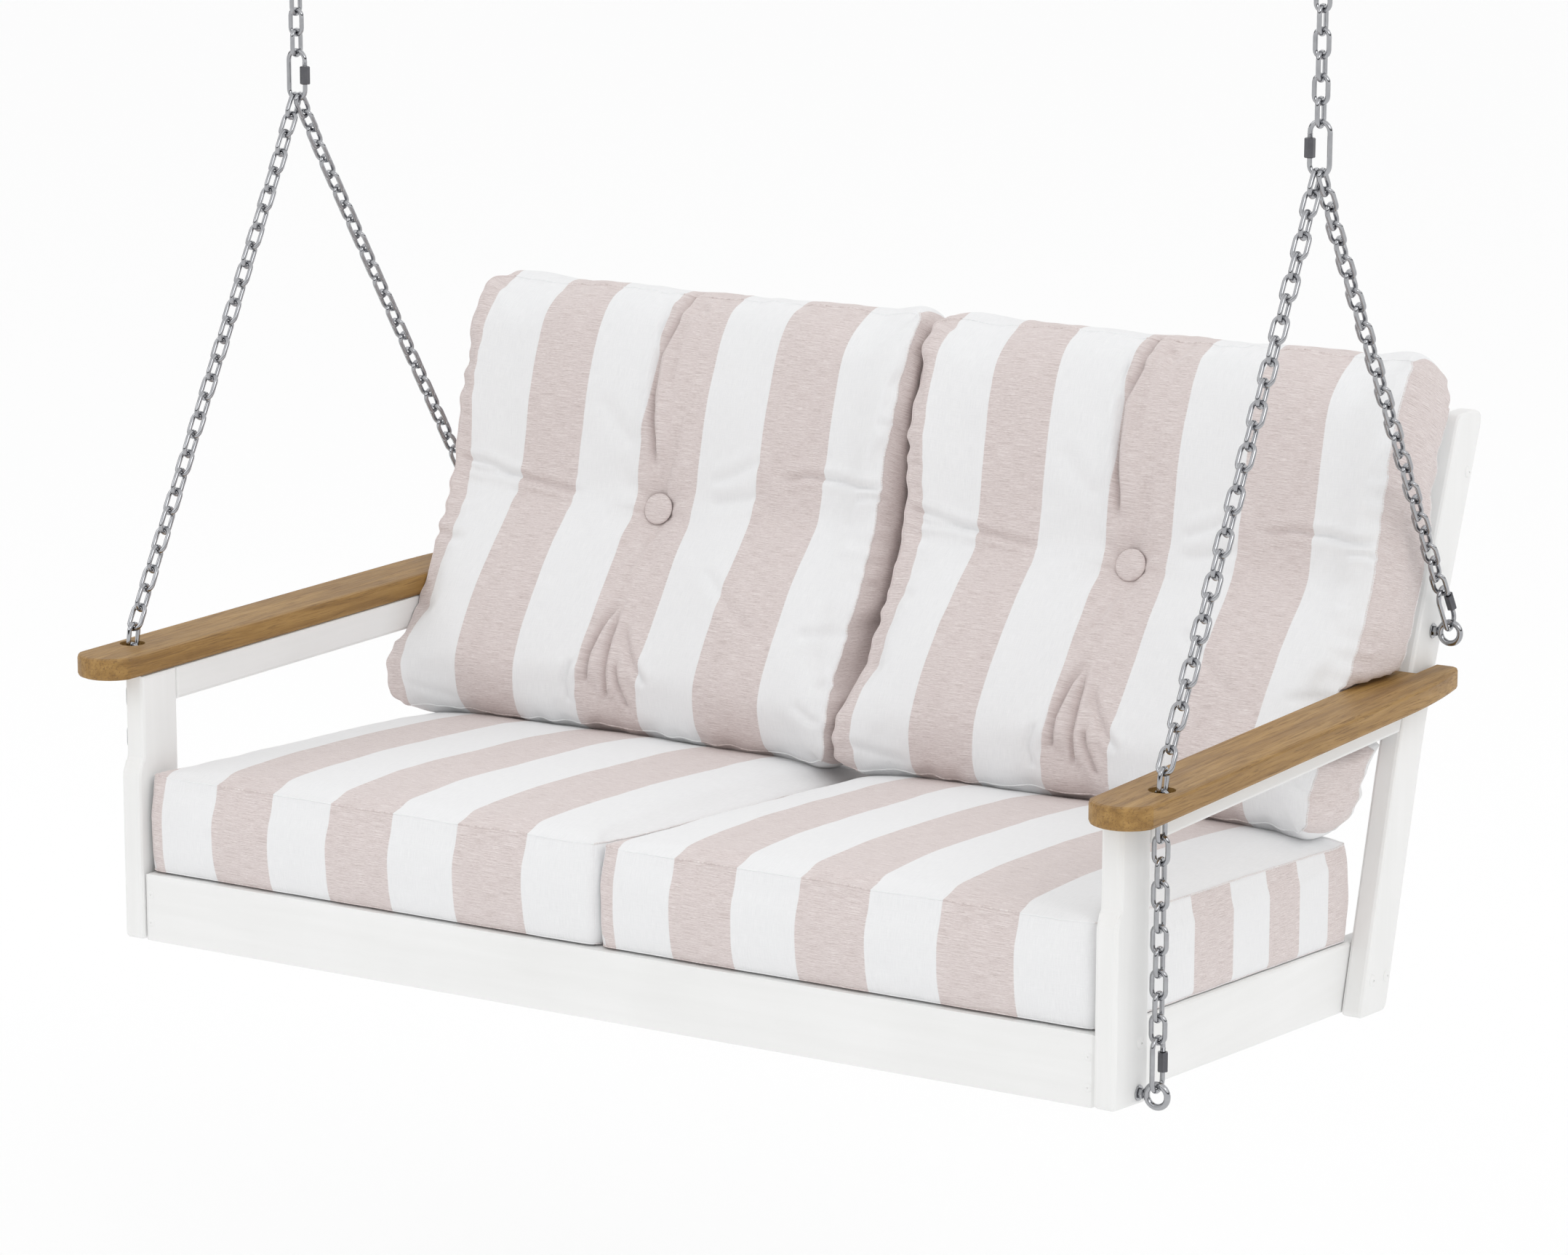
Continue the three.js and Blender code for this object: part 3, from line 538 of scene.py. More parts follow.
# ---- chains and hardware ----
for side, sign in SIDES:
    apex_low, apex_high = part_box("quick_link_apex_" + side)
    line = (Vector(apex_low) + Vector(apex_high)) / 2       # the hanging line

    def on_line(height, aside=0.0):
        return Vector((line.x + aside, line.y, height))

    apex = on_line(apex_low[2] + QUICK_R)
    seat_face = abs(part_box("front_leg_right")[1][0])
    rail_inner = abs(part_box("side_rail_right")[0][0])
    post_inner = abs(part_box("back_post_right")[0][0])
    front_eye = eye_bolt("front_" + side, sign, seat_face, rail_inner)
    rear_eye = eye_bolt("rear_" + side, sign, seat_face, post_inner)

    contact = EYE_WIRE_R + QUICK_R + 0.3 * MM
    front_foot = front_eye + Z * (EYE_R - contact)
    rear_ring = rear_eye + Z * EYE_R
    rear_dir = (apex - rear_ring).normalized()
    rear_foot = rear_ring - rear_dir * contact
    front_top = front_foot + Z * QUICK_SPAN
    rear_top = rear_foot + rear_dir * QUICK_SPAN
    inward = -sign * X
    quick_link("apex_" + side, apex, Z, -inward, "apex_link_" + side)
    quick_link("front_" + side, front_foot, Z, -Y, "seat")
    rear_across = rear_dir.cross(X).normalized()
    if rear_across.y > 0:
        rear_across = -rear_across
    quick_link("rear_" + side, rear_foot, rear_dir, rear_across, "seat")

    # a chain's end lies this far past the bar that it hangs on
    past = QUICK_R + 0.05 * MM
    arm_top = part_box("arm_" + side)[1][2]
    bend = Vector((apex.x, front_eye.y, arm_top + 12 * MM))
    first = (bend - apex).normalized()
    route = [apex - first * past, bend, front_top - Z * past]
    chain("chain_front_" + side, route, 40, "seat", "front_chain_" + side, -3 * MM)
    route = [apex + rear_dir * past, rear_top - rear_dir * past]
    chain("chain_rear_" + side, route, 26, "seat", "rear_chain_" + side, 3 * MM)

    # the top: hanger, top link and the short upper run
    hanger_low, hanger_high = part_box("ceiling_hanger_" + side)
    top_low, top_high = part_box("top_link_" + side)
    sway = on_line(top_low[2] + CHAIN_R)
    hook_z = hanger_low[2] + HOOK_WIRE_R
    b = Builder()
    chain_link(b, on_line(top_high[2] - CHAIN_R * 2), sway + Z * CHAIN_R, Y)
    b.make("link_top_" + side, bright, "top_link_" + side, ["top_link_" + side])
    b = Builder()
    upper = walk([sway + Z * CHAIN_R, on_line(apex_high[2] - QUICK_R - past)], 6)
    for i in range(6):
        chain_link(b, upper[i], upper[i + 1], Y if i % 2 else X)
    b.make("chain_upper_" + side, bright, "upper_chain_" + side, ["upper_chain_" + side])

    b = Builder()
    plate_x, plate_y = ((hanger_high[i] - hanger_low[i]) / 2 - PLATE_CORNER for i in (0, 1))
    outline = []
    for cx, cy, start in ((1, 1, 0), (-1, 1, 90), (-1, -1, 180), (1, -1, 270)):
        for i in range(7):
            t = math.radians(start + 15 * i)
            outline.append((cx * plate_x + PLATE_CORNER * math.cos(t),
                            cy * plate_y + PLATE_CORNER * math.sin(t)))
    plate_top = hanger_high[2] - 0.05 * MM
    levels = [(k, plate_top - drop * MM) for k, drop in ((0.985, 0), (1.0, 0.7), (1.0, 4.2), (0.97, 5))]
    b.rings([[Vector((line.x + px * k, line.y + py * k, z)) for px, py in outline] for k, z in levels])
    loop = [on_line(plate_top - 3 * MM, -HOOK_R)]
    for i in range(25):
        t = math.pi + math.pi * i / 24
        loop.append(on_line(hook_z + HOOK_R) + (X * math.cos(t) + Z * math.sin(t)) * HOOK_R)
    loop.append(on_line(plate_top - 3 * MM, HOOK_R))
    b.tube(loop, HOOK_WIRE_R, 16, False, Y)
    for end in (-1, 1):       # weld beads and screw heads
        b.lathe(mm((0, 0), (6.2, 0), (5.6, 1.6), (4.3, 2.6), (0, 2.6)),
                on_line(plate_top - 4.8 * MM, end * HOOK_R), -Z, 20)
        b.lathe(mm((0, 0), (6, 0), (6, 1), (4.6, 2.8), (2.4, 3.2), (1.8, 1.6), (0, 1.6)),
                on_line(plate_top - 4.9 * MM, end * SCREW_X), -Z, 20)
    b.make("hanger_" + side, bright, "ceiling_hangers", ["ceiling_hanger_" + side])


def screws(name, places, axis, material, radius=6.8, proud=2.2):
    """domed heads with a small recess"""
    b = Builder()
    axis = Vector(axis)
    for place in places:
        dome = [(radius * k, proud * h) for k, h in ((1, 0.15), (0.86, 0.5), (0.6, 0.86), (0.3, 1), (0.2, 1))]
        b.lathe(mm((0, -1), (radius, -1), *dome, (radius * 0.17, 0.1), (0, 0.1)), place, axis, 24)
    b.make(name, material, "seat")


for side, sign in SIDES:
    post_x = abs(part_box("back_post_right")[1][0]) / MM
    post_places = [bench(sign * post_x, y, z) for y, z in ((606, -4.3), (642, -6.9), (823, 538))]
    screws("post_screws_" + side, post_places, (sign, 0, 0), white_z)
    screws("leg_screws_" + side, [bench(sign * post_x, 54, 61.7)], (sign, 0, 0), white_z)
    apron_y = (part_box("front_apron")[0][1] - BENCH_Y) / MM
    plugs = [bench(sign * 606.6, apron_y, z) for z in (54, 21)]
    screws("apron_plugs_" + side, plugs, (0, -1, 0), white_x, 5.0, 0.9)


# ---- cushions ----
REAR_CELLS = 2      # a cushion's rear panel turns this many cells round on to its boxing


def lattice(nx, ny, nz):
    """the skin of a box of cells: its corners as -1..1 triples, and its quads"""
    index, triples = {}, []

    def vertex(i, j, k):
        if (i, j, k) not in index:
            index[i, j, k] = len(triples)
            triples.append((2 * i / nx - 1, 2 * j / ny - 1, 2 * k / nz - 1))
        return index[i, j, k]

    quads = []
    for k, flip in ((0, True), (nz, False)):
        for i in range(nx):
            for j in range(ny):
                quad = [vertex(i, j, k), vertex(i + 1, j, k), vertex(i + 1, j + 1, k), vertex(i, j + 1, k)]
                quads.append((quad[::-1] if flip else quad, "rear" if flip else "face"))
    for name, count, run in (("side", nx, ny), ("end", ny, nx)):
        for at, flip in ((0, name == "end"), (count, name == "side")):
            for m in range(run):
                for k in range(nz):
                    spots = ((at, m, k), (at, m, k + 1), (at, m + 1, k + 1), (at, m + 1, k))
                    if name == "end":
                        spots = [(i, j, level) for j, i, level in spots]
                    quad = [vertex(*spot) for spot in spots]
                    quads.append((quad[::-1] if flip else quad, "turned" if k < REAR_CELLS else name))
    return np.array(triples), quads


def resample(points, s):
    """places along a broken line at shares s of its length"""
    points = np.array(points, float)
    reach = np.concatenate([[0], np.cumsum(np.linalg.norm(np.diff(points, axis=0), axis=1))])
    goal = np.asarray(s) * reach[-1]
    return np.stack([np.interp(goal, reach, points[:, k]) for k in range(points.shape[1])], -1)


def smooth_line(points, rounds=3):
    """rounds off a broken line's corners, ends kept"""
    points = [np.array(p, float) for p in points]
    for _ in range(rounds):
        cut = [points[0]]
        for a, b in zip(points, points[1:]):
            cut += [a * 0.75 + b * 0.25, a * 0.25 + b * 0.75]
        points = [*cut, points[-1]]
    return points


def smoothstep(low, high, value):
    t = np.clip((value - low) / (high - low), 0, 1)
    return t * t * (3 - 2 * t)


def field(points, scale, seed):
    """smooth noise at each place, about -1..1"""
    return np.array([noise.noise(Vector((p[0] * scale + seed, p[1] * scale, p[2] * scale))) for p in points])


def bench_xyz(p):
    return p * MM + (0, BENCH_Y, BENCH_Z)


def cushion_mesh(name, places, quads, uvs, materials, tones):
    mesh = bpy.data.meshes.new(name)
    mesh.from_pydata(bench_xyz(places).tolist(), [], [q for q, _ in quads])
    for material in materials:
        mesh.materials.append(material)
    layer = mesh.uv_layers.new(name="cloth")
    corner = 0
    for polygon, (quad, part) in zip(mesh.polygons, quads):
        polygon.material_index = tones.get(part, 0)
        polygon.use_smooth = True
        for vert in quad:
            layer.data[corner].uv = uvs(part, vert)
            corner += 1
    return new_object(name, mesh)


def inflate(obj, held, frames, pressure, cap, grow):
    """lets the cover swell and buckle like cloth, then keeps each point near where it began"""
    before = np.array([v.co for v in obj.data.vertices])
    obj.vertex_groups.new(name="held").add(held, 1.0, "REPLACE")
    modifier = obj.modifiers.new("Cloth", "CLOTH")
    settings = {"quality": 6, "mass": 0.25, "tension_stiffness": 12, "compression_stiffness": 12,
                "shear_stiffness": 4, "bending_stiffness": 0.6, "use_pressure": True,
                "uniform_pressure_force": pressure, "shrink_min": grow, "vertex_group_mass": "held",
                "pin_stiffness": 1.0}
    for key, value in settings.items():
        setattr(modifier.settings, key, value)
    modifier.settings.effector_weights.gravity = 0
    modifier.collision_settings.use_collision = False
    modifier.point_cache.frame_start = 1
    modifier.point_cache.frame_end = frames
    for number in range(1, frames + 1):
        bpy.context.scene.frame_set(number)
    view = bpy.context.evaluated_depsgraph_get()
    swollen = obj.evaluated_get(view).to_mesh()
    after = np.array([v.co for v in swollen.vertices])
    obj.modifiers.clear()
    obj.vertex_groups.clear()
    bpy.context.scene.frame_set(1)
    move = after - before
    length = np.linalg.norm(move, axis=1, keepdims=True)
    kept = cap * np.tanh(length / cap)
    return before + move * np.divide(kept, length, out=np.zeros_like(length), where=length > 0)


def subdivide(obj):
    modifier = obj.modifiers.new("Smooth", "SUBSURF")
    modifier.levels = modifier.render_levels = 1
    modifier.uv_smooth = "PRESERVE_BOUNDARIES"
    view = bpy.context.evaluated_depsgraph_get()
    mesh = bpy.data.meshes.new_from_object(obj.evaluated_get(view))
    obj.modifiers.clear()
    obj.data = mesh


# ---- a back cushion: side views in bench millimetres, from the seat up ----
RIM_FRONT = [(508, 172), (492, 186), (485, 210), (492, 245), (530, 290), (568, 355), (592, 400), (610, 440),
             (619, 470), (638, 545), (668, 615), (692, 656), (716, 676), (742, 683)]
FLANK_FRONT = [(511, 176), (497, 190), (492, 212), (499, 245), (517, 282), (536, 312), (560, 345), (590, 380),
               (624, 412), (643, 436), (647, 462), (656, 505), (668, 555), (682, 602), (696, 636), (718, 664),
               (748, 678)]
MIDDLE_FRONT = [(522, 178), (511, 192), (510, 214), (522, 245), (541, 275), (561, 303), (584, 340),
                (607, 375), (631, 406), (648, 432), (656, 466), (669, 510), (683, 555), (700, 592),
                (716, 624), (736, 654), (762, 674)]
RIM_REAR = [(592, 172), (612, 190), (640, 255), (663, 320), (713, 427), (739, 473), (772, 542), (800, 584),
            (822, 612), (826, 632)]
MIDDLE_REAR = [(620, 168), (648, 180), (666, 204), (703, 305), (739, 405), (775, 505), (807, 592), (820, 620),
               (818, 640)]
# where the front seams run, how far they stray at the button's height, and how far the outer foot draws in
BACK_SPAN = {"left": (-623.0, -4.5), "right": (7.0, 626.0)}
WAIST_SHIFT = {"left": 0.0, "right": 7.0}
FOOT_IN = {"left": 0.0, "right": 12.0}
BACK_CELLS, SEAT_CELLS = (84, 74, 12), (70, 68, 14)
BACK_HALF_HEIGHT, BACK_CORNER = 275.0, 36.0
SEAT_HALF_DEPTH, SEAT_CORNER = 299.0, 13.0
HALF_WIDTH = 305.0      # of a panel, for the puckers along its seams
# the cloth map, in metres: the stripes' width, the panels' lengths, and the boxing's width
STRIPED, BACK_LENGTH, SEAT_LENGTH = 0.611, 0.56, 0.598
BACK_BOXING, SEAT_BOXING = 0.115, 0.114
BEFORE_STRIPES, PAST_STRIPES = -0.02, 0.64
# what the cushions rest against: the arm with its rail, the back slats, the back posts at their bend
ARM_LOW, ARM_HIGH = 262.0, 333.0
SLATS_Y, SLATS_SLOPE = 597.0, 0.36
POST_Y, POST_Z = 667.6, 283.0
POST_SLOPE_LOW, POST_SLOPE_HIGH = 0.2757, 0.403
# how far out a back cushion may reach, and how much less beside the arm and the post
SIDE_LIMIT, ARM_PRESS = 642.0, 29.3
FACE_OUT, FACE_UP = 0.93, 0.36      # the back cushions' faces lean back
# the seat falls towards the back. Heights at depth 0: the cushions' upper and lower seams, and the slats.
SEAT_SLOPE, SEAT_SEAM, SEAT_BASE, SLATS_TOP = 0.0715, 194.4, 81.6, 80.9
# the middle of the seat panels, and from there to their seams
SEAT_MIDDLE, SEAT_REACH = 308.0, 296.0


def round_corners(a, t, half, half_height, radius):
    """draws a panel's square corners in to quarter circles. Also gives the way out, square to its edge."""
    px, py = a * half, t * half_height
    dx, dy = np.abs(px) - (half - radius), np.abs(py) - (half_height - radius)
    corner = (dx > 0) & (dy > 0)
    dx0, dy0 = np.maximum(dx, 0), np.maximum(dy, 0)
    reach = np.hypot(dx0, dy0) + 1e-9
    scale = np.where(corner, np.maximum(dx0, dy0) / reach, 1.0)
    px = np.where(corner, np.sign(px) * (half - radius + dx0 * scale), px)
    py = np.where(corner, np.sign(py) * (half_height - radius + dy0 * scale), py)
    out_x = np.where(corner, np.sign(px) * dx0 / reach, np.where(np.abs(a) > 0.999, np.sign(a), 0.0))
    out_t = np.where(corner, np.sign(py) * dy0 / reach, np.where(np.abs(t) > 0.999, np.sign(t), 0.0))
    return px / half, py / half_height, out_x, out_t


def halves(span):
    """half a cushion's width, and its middle"""
    return (span[1] - span[0]) / 2, (span[1] + span[0]) / 2


def boxing(triples, c):
    """0 on the panels and at their seams, 1 half way down the boxing"""
    skin = np.maximum(np.abs(triples[:, 0]), np.abs(triples[:, 1])) > 0.999
    return np.where(skin, 1 - (2 * c - 1) ** 2, 0.0)


def back_shape(triples, span, waist_shift, foot_in):
    half, middle_x = halves(span)
    a, t, out_x, out_t = round_corners(triples[:, 0], triples[:, 1], half, BACK_HALF_HEIGHT, BACK_CORNER)
    s, c = (t + 1) / 2, (triples[:, 2] + 1) / 2
    middle = np.cos(np.pi / 2 * np.clip(np.abs(a) / 0.62, 0, 1)) ** 2
    rim = smoothstep(0.76, 1.0, np.abs(triples[:, 0]))
    middle = middle * (1 - rim)
    flank = 1 - middle - rim
    edge = smoothstep(0.80, 1.0, np.abs(triples[:, 0]))

    def blend(*parts):
        return sum(resample(smooth_line(line), s) * share[:, None] for line, share in parts)

    front = blend((MIDDLE_FRONT, middle), (FLANK_FRONT, flank), (RIM_FRONT, rim))
    rear = blend((MIDDLE_REAR, 1 - edge), (RIM_REAR, edge))
    yz = rear + (front - rear) * c[:, None]
    # the boxing swells out of its seams, most of all over the arm
    across = boxing(triples, c)
    over_arm = smoothstep(ARM_HIGH - 2, ARM_HIGH + 12, yz[:, 1]) * (1 - smoothstep(430, 590, yz[:, 1]))
    x = middle_x + a * half + out_x * across * (6 + 10 * over_arm)
    x += waist_shift * np.exp(-((yz[:, 1] - 430) / 150) ** 2)
    x -= foot_in * np.maximum(triples[:, 0], 0) ** 2 * (1 - smoothstep(210, 300, yz[:, 1]))
    crest = np.where(t > 0, 16, 9)
    yz[:, 0] += out_t * across * 4
    yz[:, 1] += out_t * across * crest
    # the upright edges draw in a little half way up
    x -= a * 4 * (1 - t ** 2) * smoothstep(0.6, 1.0, np.abs(triples[:, 0]))
    return np.column_stack([x, yz])


def groove(x, z, line, width, depth, fade=0.15):
    """a fold along a broken line across the face: how deep it lies at each place, and the way to it"""
    line = np.array(line, float)
    best, share = np.full(len(x), 1e9), np.zeros(len(x))
    toward = np.zeros((len(x), 2))
    lengths = np.linalg.norm(np.diff(line, axis=0), axis=1)
    total, done = lengths.sum(), 0.0
    for (ax, az), (bx, bz), length in zip(line, line[1:], lengths):
        t = np.clip(((x - ax) * (bx - ax) + (z - az) * (bz - az)) / length ** 2, 0, 1)
        nx, nz = ax + t * (bx - ax) - x, az + t * (bz - az) - z
        gap = np.hypot(nx, nz)
        nearer = gap < best
        share = np.where(nearer, (done + t * length) / total, share)
        toward[nearer] = np.stack([nx, nz], -1)[nearer]
        best = np.minimum(best, gap)
        done += length
    ends = smoothstep(0, fade, share) * smoothstep(0, fade, 1 - share)
    valley = np.exp(-(best / width) ** 2)
    shoulder = np.exp(-((best - 2.1 * width) / (1.1 * width)) ** 2) * 0.45
    squeeze = 0.45 * np.exp(-(best / (1.8 * width)) ** 2) * ends * min(1.0, depth / 6)
    return depth * ends * (valley - shoulder), toward * squeeze[:, None]


# folds of a back cushion's face: a line of (across, height), the fold's width and its depth, in mm
FOLDS = [
    # pleat above the button
    ([(-34, 700), (-37, 640), (-46, 604), (-42, 556), (-34, 500), (-30, 466)], 4.5, 10),
    ([(-50, 660), (-54, 620), (-51, 580), (-44, 535), (-38, 505)], 4.0, 5),
    ([(-24, 655), (-28, 610), (-26, 560)], 7, 2.5),
    # pulls to the left
    ([(-300, 468), (-262, 463), (-227, 450), (-180, 445), (-115, 436)], 4.5, 5),
    ([(-292, 459), (-255, 450), (-228, 447)], 3.5, 3),
    ([(-226, 432), (-170, 428), (-120, 424)], 6, 2),
    ([(-111, 552), (-84, 520), (-56, 495)], 11, 3),
    ([(52, 464), (90, 478), (128, 500)], 6, 3),
    ([(56, 440), (96, 448), (134, 459)], 7, 2.5),
    # pulls to the right
    ([(150, 478), (190, 487), (232, 486), (270, 484), (309, 486)], 4.5, 5),
    ([(268, 470), (290, 473), (313, 469)], 3.5, 3.5),
    ([(-36, 660), (-20, 654), (-4, 658)], 5, 4),
    # below the button
    ([(-10, 405), (-20, 378), (-30, 352)], 4, 3),
    ([(-22, 330), (-32, 305), (-40, 270), (-38, 230)], 4.5, 9),
    ([(-18, 332), (-18, 298), (-15, 256), (-8, 212)], 4.5, 7.5),
    ([(-6, 302), (16, 272), (50, 240)], 5, 5),
    ([(-2, 262), (8, 236), (22, 208)], 4.5, 6),
    ([(-60, 262), (-66, 234), (-60, 208)], 5, 4.5),
    ([(80, 376), (122, 350), (188, 314)], 6, 3),
    ([(240, 322), (280, 324), (314, 319)], 5, 3),
    ([(286, 272), (312, 268), (330, 259)], 4.5, 3),
    ([(262, 250), (288, 236), (306, 232)], 5, 2.5),
    ([(-290, 214), (-256, 205), (-214, 200)], 6, 2.5),
    ([(-306, 300), (-288, 296), (-262, 300)], 5, 2.5),
    ([(-304, 380), (-280, 374), (-250, 378)], 5, 2.5),
    ([(286, 560), (300, 556), (316, 560)], 5, 2.5),
]
PATTERN_X = {"left": -314.0, "right": 316.0}    # where the folds' across is 0
BUTTON_Y, BUTTON_Z = 652.0, 424.0


def dress_back(places, triples, origin, button_x, seed):
    """sewn-in folds, the buttoned dimple, and puckers along the seams. Bench millimetres in and out."""
    a, s, c = triples[:, 0], (triples[:, 1] + 1) / 2, triples[:, 2]
    facing = smoothstep(0.3, 1.0, c)
    x, z = places[:, 0] - origin, places[:, 2]
    push, drift = np.zeros(len(places)), np.zeros((len(places), 2))
    for line, width, depth in FOLDS:
        deep, toward = groove(x, z, line, width, depth)
        push += deep
        drift += toward
    gap = np.hypot(places[:, 0] - button_x, (z - BUTTON_Z) * 0.9)
    push += 5 * np.exp(-(gap / 24) ** 4) + 7 * np.exp(-(gap / 70) ** 2)
    # radiating pulls round the button
    turn = np.arctan2(z - BUTTON_Z, places[:, 0] - button_x)
    push += 1.6 * np.cos(7 * turn + 1.3) * np.exp(-((gap - 42) / 24) ** 2)
    push += 1.8 * field(places, 0.011, seed) + 1.0 * field(places, 0.028, seed + 7)
    out = places.copy()
    out[:, 0] += drift[:, 0] * facing
    out[:, 1] += (push * FACE_OUT + drift[:, 1] * FACE_UP) * facing
    out[:, 2] += (drift[:, 1] * FACE_OUT - push * FACE_UP) * facing
    # puckers: short ripples square to the seam that die out within a few centimetres
    sew = np.abs(c)
    near_side = np.exp(-((1 - np.abs(a)) * HALF_WIDTH / 22) ** 2) * sew
    ripple = np.sin(s * 96 + 2.6 * np.sin(s * 21 + seed)) * 0.5 + field(places, 0.05, seed + 3)
    out[:, 0] += np.sign(a) * near_side * ripple * 2.2
    out[:, 1] -= near_side * np.sign(c) * ripple * 1.7
    near_end = np.exp(-((1 - np.abs(2 * s - 1)) * BACK_HALF_HEIGHT / 20) ** 2) * sew
    ripple = np.sin(a * 40 + 2.4 * np.sin(a * 9 + seed)) * 0.45 + field(places, 0.045, seed + 5)
    out[:, 2] += near_end * np.sign(2 * s - 1) * ripple * 2.0
    out[:, 1] -= near_end * np.sign(c) * ripple * 1.4
    return out


SEAT_SPAN = {"left": (-611.0, -2.0), "right": (2.0, 611.0)}
# how the side boxing's stripes lie: depth along the seat to distance across the cloth
SIDE_DEPTH = [0, 140, 227, 315, 401.5, 474, 545, 612]
SIDE_CLOTH = [0.607, 0.56, 0.5195, 0.4275, 0.340, 0.2545, 0.174, 0.108]


def seat_top(x, y, span):
    """height of a seat cushion's top in bench millimetres"""
    half, middle_x = halves(span)
    t = np.clip((y - 8) / 598, 0, 1)
    swell = 21 * np.clip(1 - np.abs(2 * t - 1) ** 3.0, 0, 1) ** 0.8 * (0.66 + 0.5 * t)
    side = np.clip(1 - np.clip(np.abs((x - middle_x) / half), 0, 1) ** 5, 0, 1) ** 0.7
    return SEAT_SEAM - SEAT_SLOPE * y + swell * side


def seat_shape(triples, span):
    half, middle_x = halves(span)
    a, t, out_x, out_t = round_corners(triples[:, 0], triples[:, 1], half, SEAT_HALF_DEPTH, SEAT_CORNER)
    c = (triples[:, 2] + 1) / 2
    across = boxing(triples, c)
    x, y = middle_x + a * half, SEAT_MIDDLE + t * SEAT_REACH
    bottom = SEAT_BASE - SEAT_SLOPE * y
    z = bottom + (seat_top(x, y, span) - bottom) * c
    return np.column_stack([x + out_x * across * 3.5, y + out_t * across * 6, z])


def dress_seat(places, triples, seed):
    a, b, c = triples[:, 0], triples[:, 1], triples[:, 2]
    out = places.copy()
    upper = smoothstep(0.3, 1.0, c)
    out[:, 2] += upper * (1.5 * field(places, 0.009, seed) + 0.6 * field(places, 0.026, seed + 4))
    rim = np.exp(-((1 - np.abs(a)) * HALF_WIDTH / 14) ** 2)
    lip = np.exp(-((1 - np.abs(b)) * SEAT_HALF_DEPTH / 14) ** 2)
    ripple = field(places, 0.03, seed + 2)
    out[:, 0] += np.sign(a) * rim * ripple * 1.0
    out[:, 1] += np.sign(b) * lip * ripple * 1.0
    return out


def round_place(u, v):
    """place round the edge of a square, 0..8"""
    if v <= -1 + 1e-4:
        return 1 + u
    if u >= 1 - 1e-4:
        return 3 + v
    if v >= 1 - 1e-4:
        return 5 - u
    return 7 - v


def spread(n, bunch):
    """n + 1 places from -1 to 1, closer together at the middle and at both ends"""
    t = np.linspace(-1, 1, n + 1)
    return t - bunch * np.sin(2 * np.pi * t) / (2 * np.pi)


def cushion(name, cad_node, cells, bunch, shape, cloth_uv, materials, tones, held_at, swell, dress):
    """sews, fills and dresses one cushion. shape and dress work in bench millimetres."""
    triples, quads = lattice(*cells)
    steps = [spread(n, k) for n, k in zip(cells, bunch)]
    for axis in range(3):
        index = np.rint((triples[:, axis] + 1) / 2 * cells[axis]).astype(int)
        triples[:, axis] = steps[axis][index]
    base = shape(triples)
    obj = cushion_mesh(name, base, quads, lambda part, i: cloth_uv(part, triples[i]), materials, tones)
    mark = obj.data.attributes.new("place", "FLOAT_VECTOR", "POINT")
    mark.data.foreach_set("vector", triples.ravel())
    held = [i for i in range(len(base)) if held_at(triples[i], base[i])]
    swollen = inflate(obj, held, **swell)
    obj.data.vertices.foreach_set("co", swollen.ravel())
    obj.data.update()
    subdivide(obj)
    count = len(obj.data.vertices)
    places, marks = np.zeros(count * 3), np.zeros(count * 3)
    obj.data.vertices.foreach_get("co", places)
    obj.data.attributes["place"].data.foreach_get("vector", marks)
    places, marks = places.reshape(-1, 3), marks.reshape(-1, 3)
    finished = dress((places - (0, BENCH_Y, BENCH_Z)) / MM, marks)
    obj.data.vertices.foreach_set("co", bench_xyz(finished).ravel())
    obj.data.attributes.remove(obj.data.attributes["place"])
    obj.data.update()
    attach(obj, "seat")
    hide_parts(cad_node)
    return obj, marks


def seam(name, obj, marks, level, radius, cloth_uv):
    """a stitched ridge along the seam where a panel meets the boxing"""
    on = [i for i, m in enumerate(marks)
          if abs(m[2] - level) < 1e-4 and max(abs(m[0]), abs(m[1])) > 1 - 1e-4]
    on.sort(key=lambda i: round_place(marks[i][0], marks[i][1]))
    verts = obj.data.vertices
    rings, uvs = [], []
    for n, i in enumerate(on):
        tangent = (verts[on[(n + 1) % len(on)]].co - verts[on[n - 1]].co).normalized()
        across = tangent.cross(verts[i].normal).normalized()
        out = across.cross(tangent).normalized()
        rings.append(circle(verts[i].co, across, out, radius, 6))
        uvs += [cloth_uv("face", marks[i])] * 6
    b = Builder()
    b.rings(rings, closed=True)
    lay_cloth(b.make(name, cloth, "seat", (), 60), uvs)


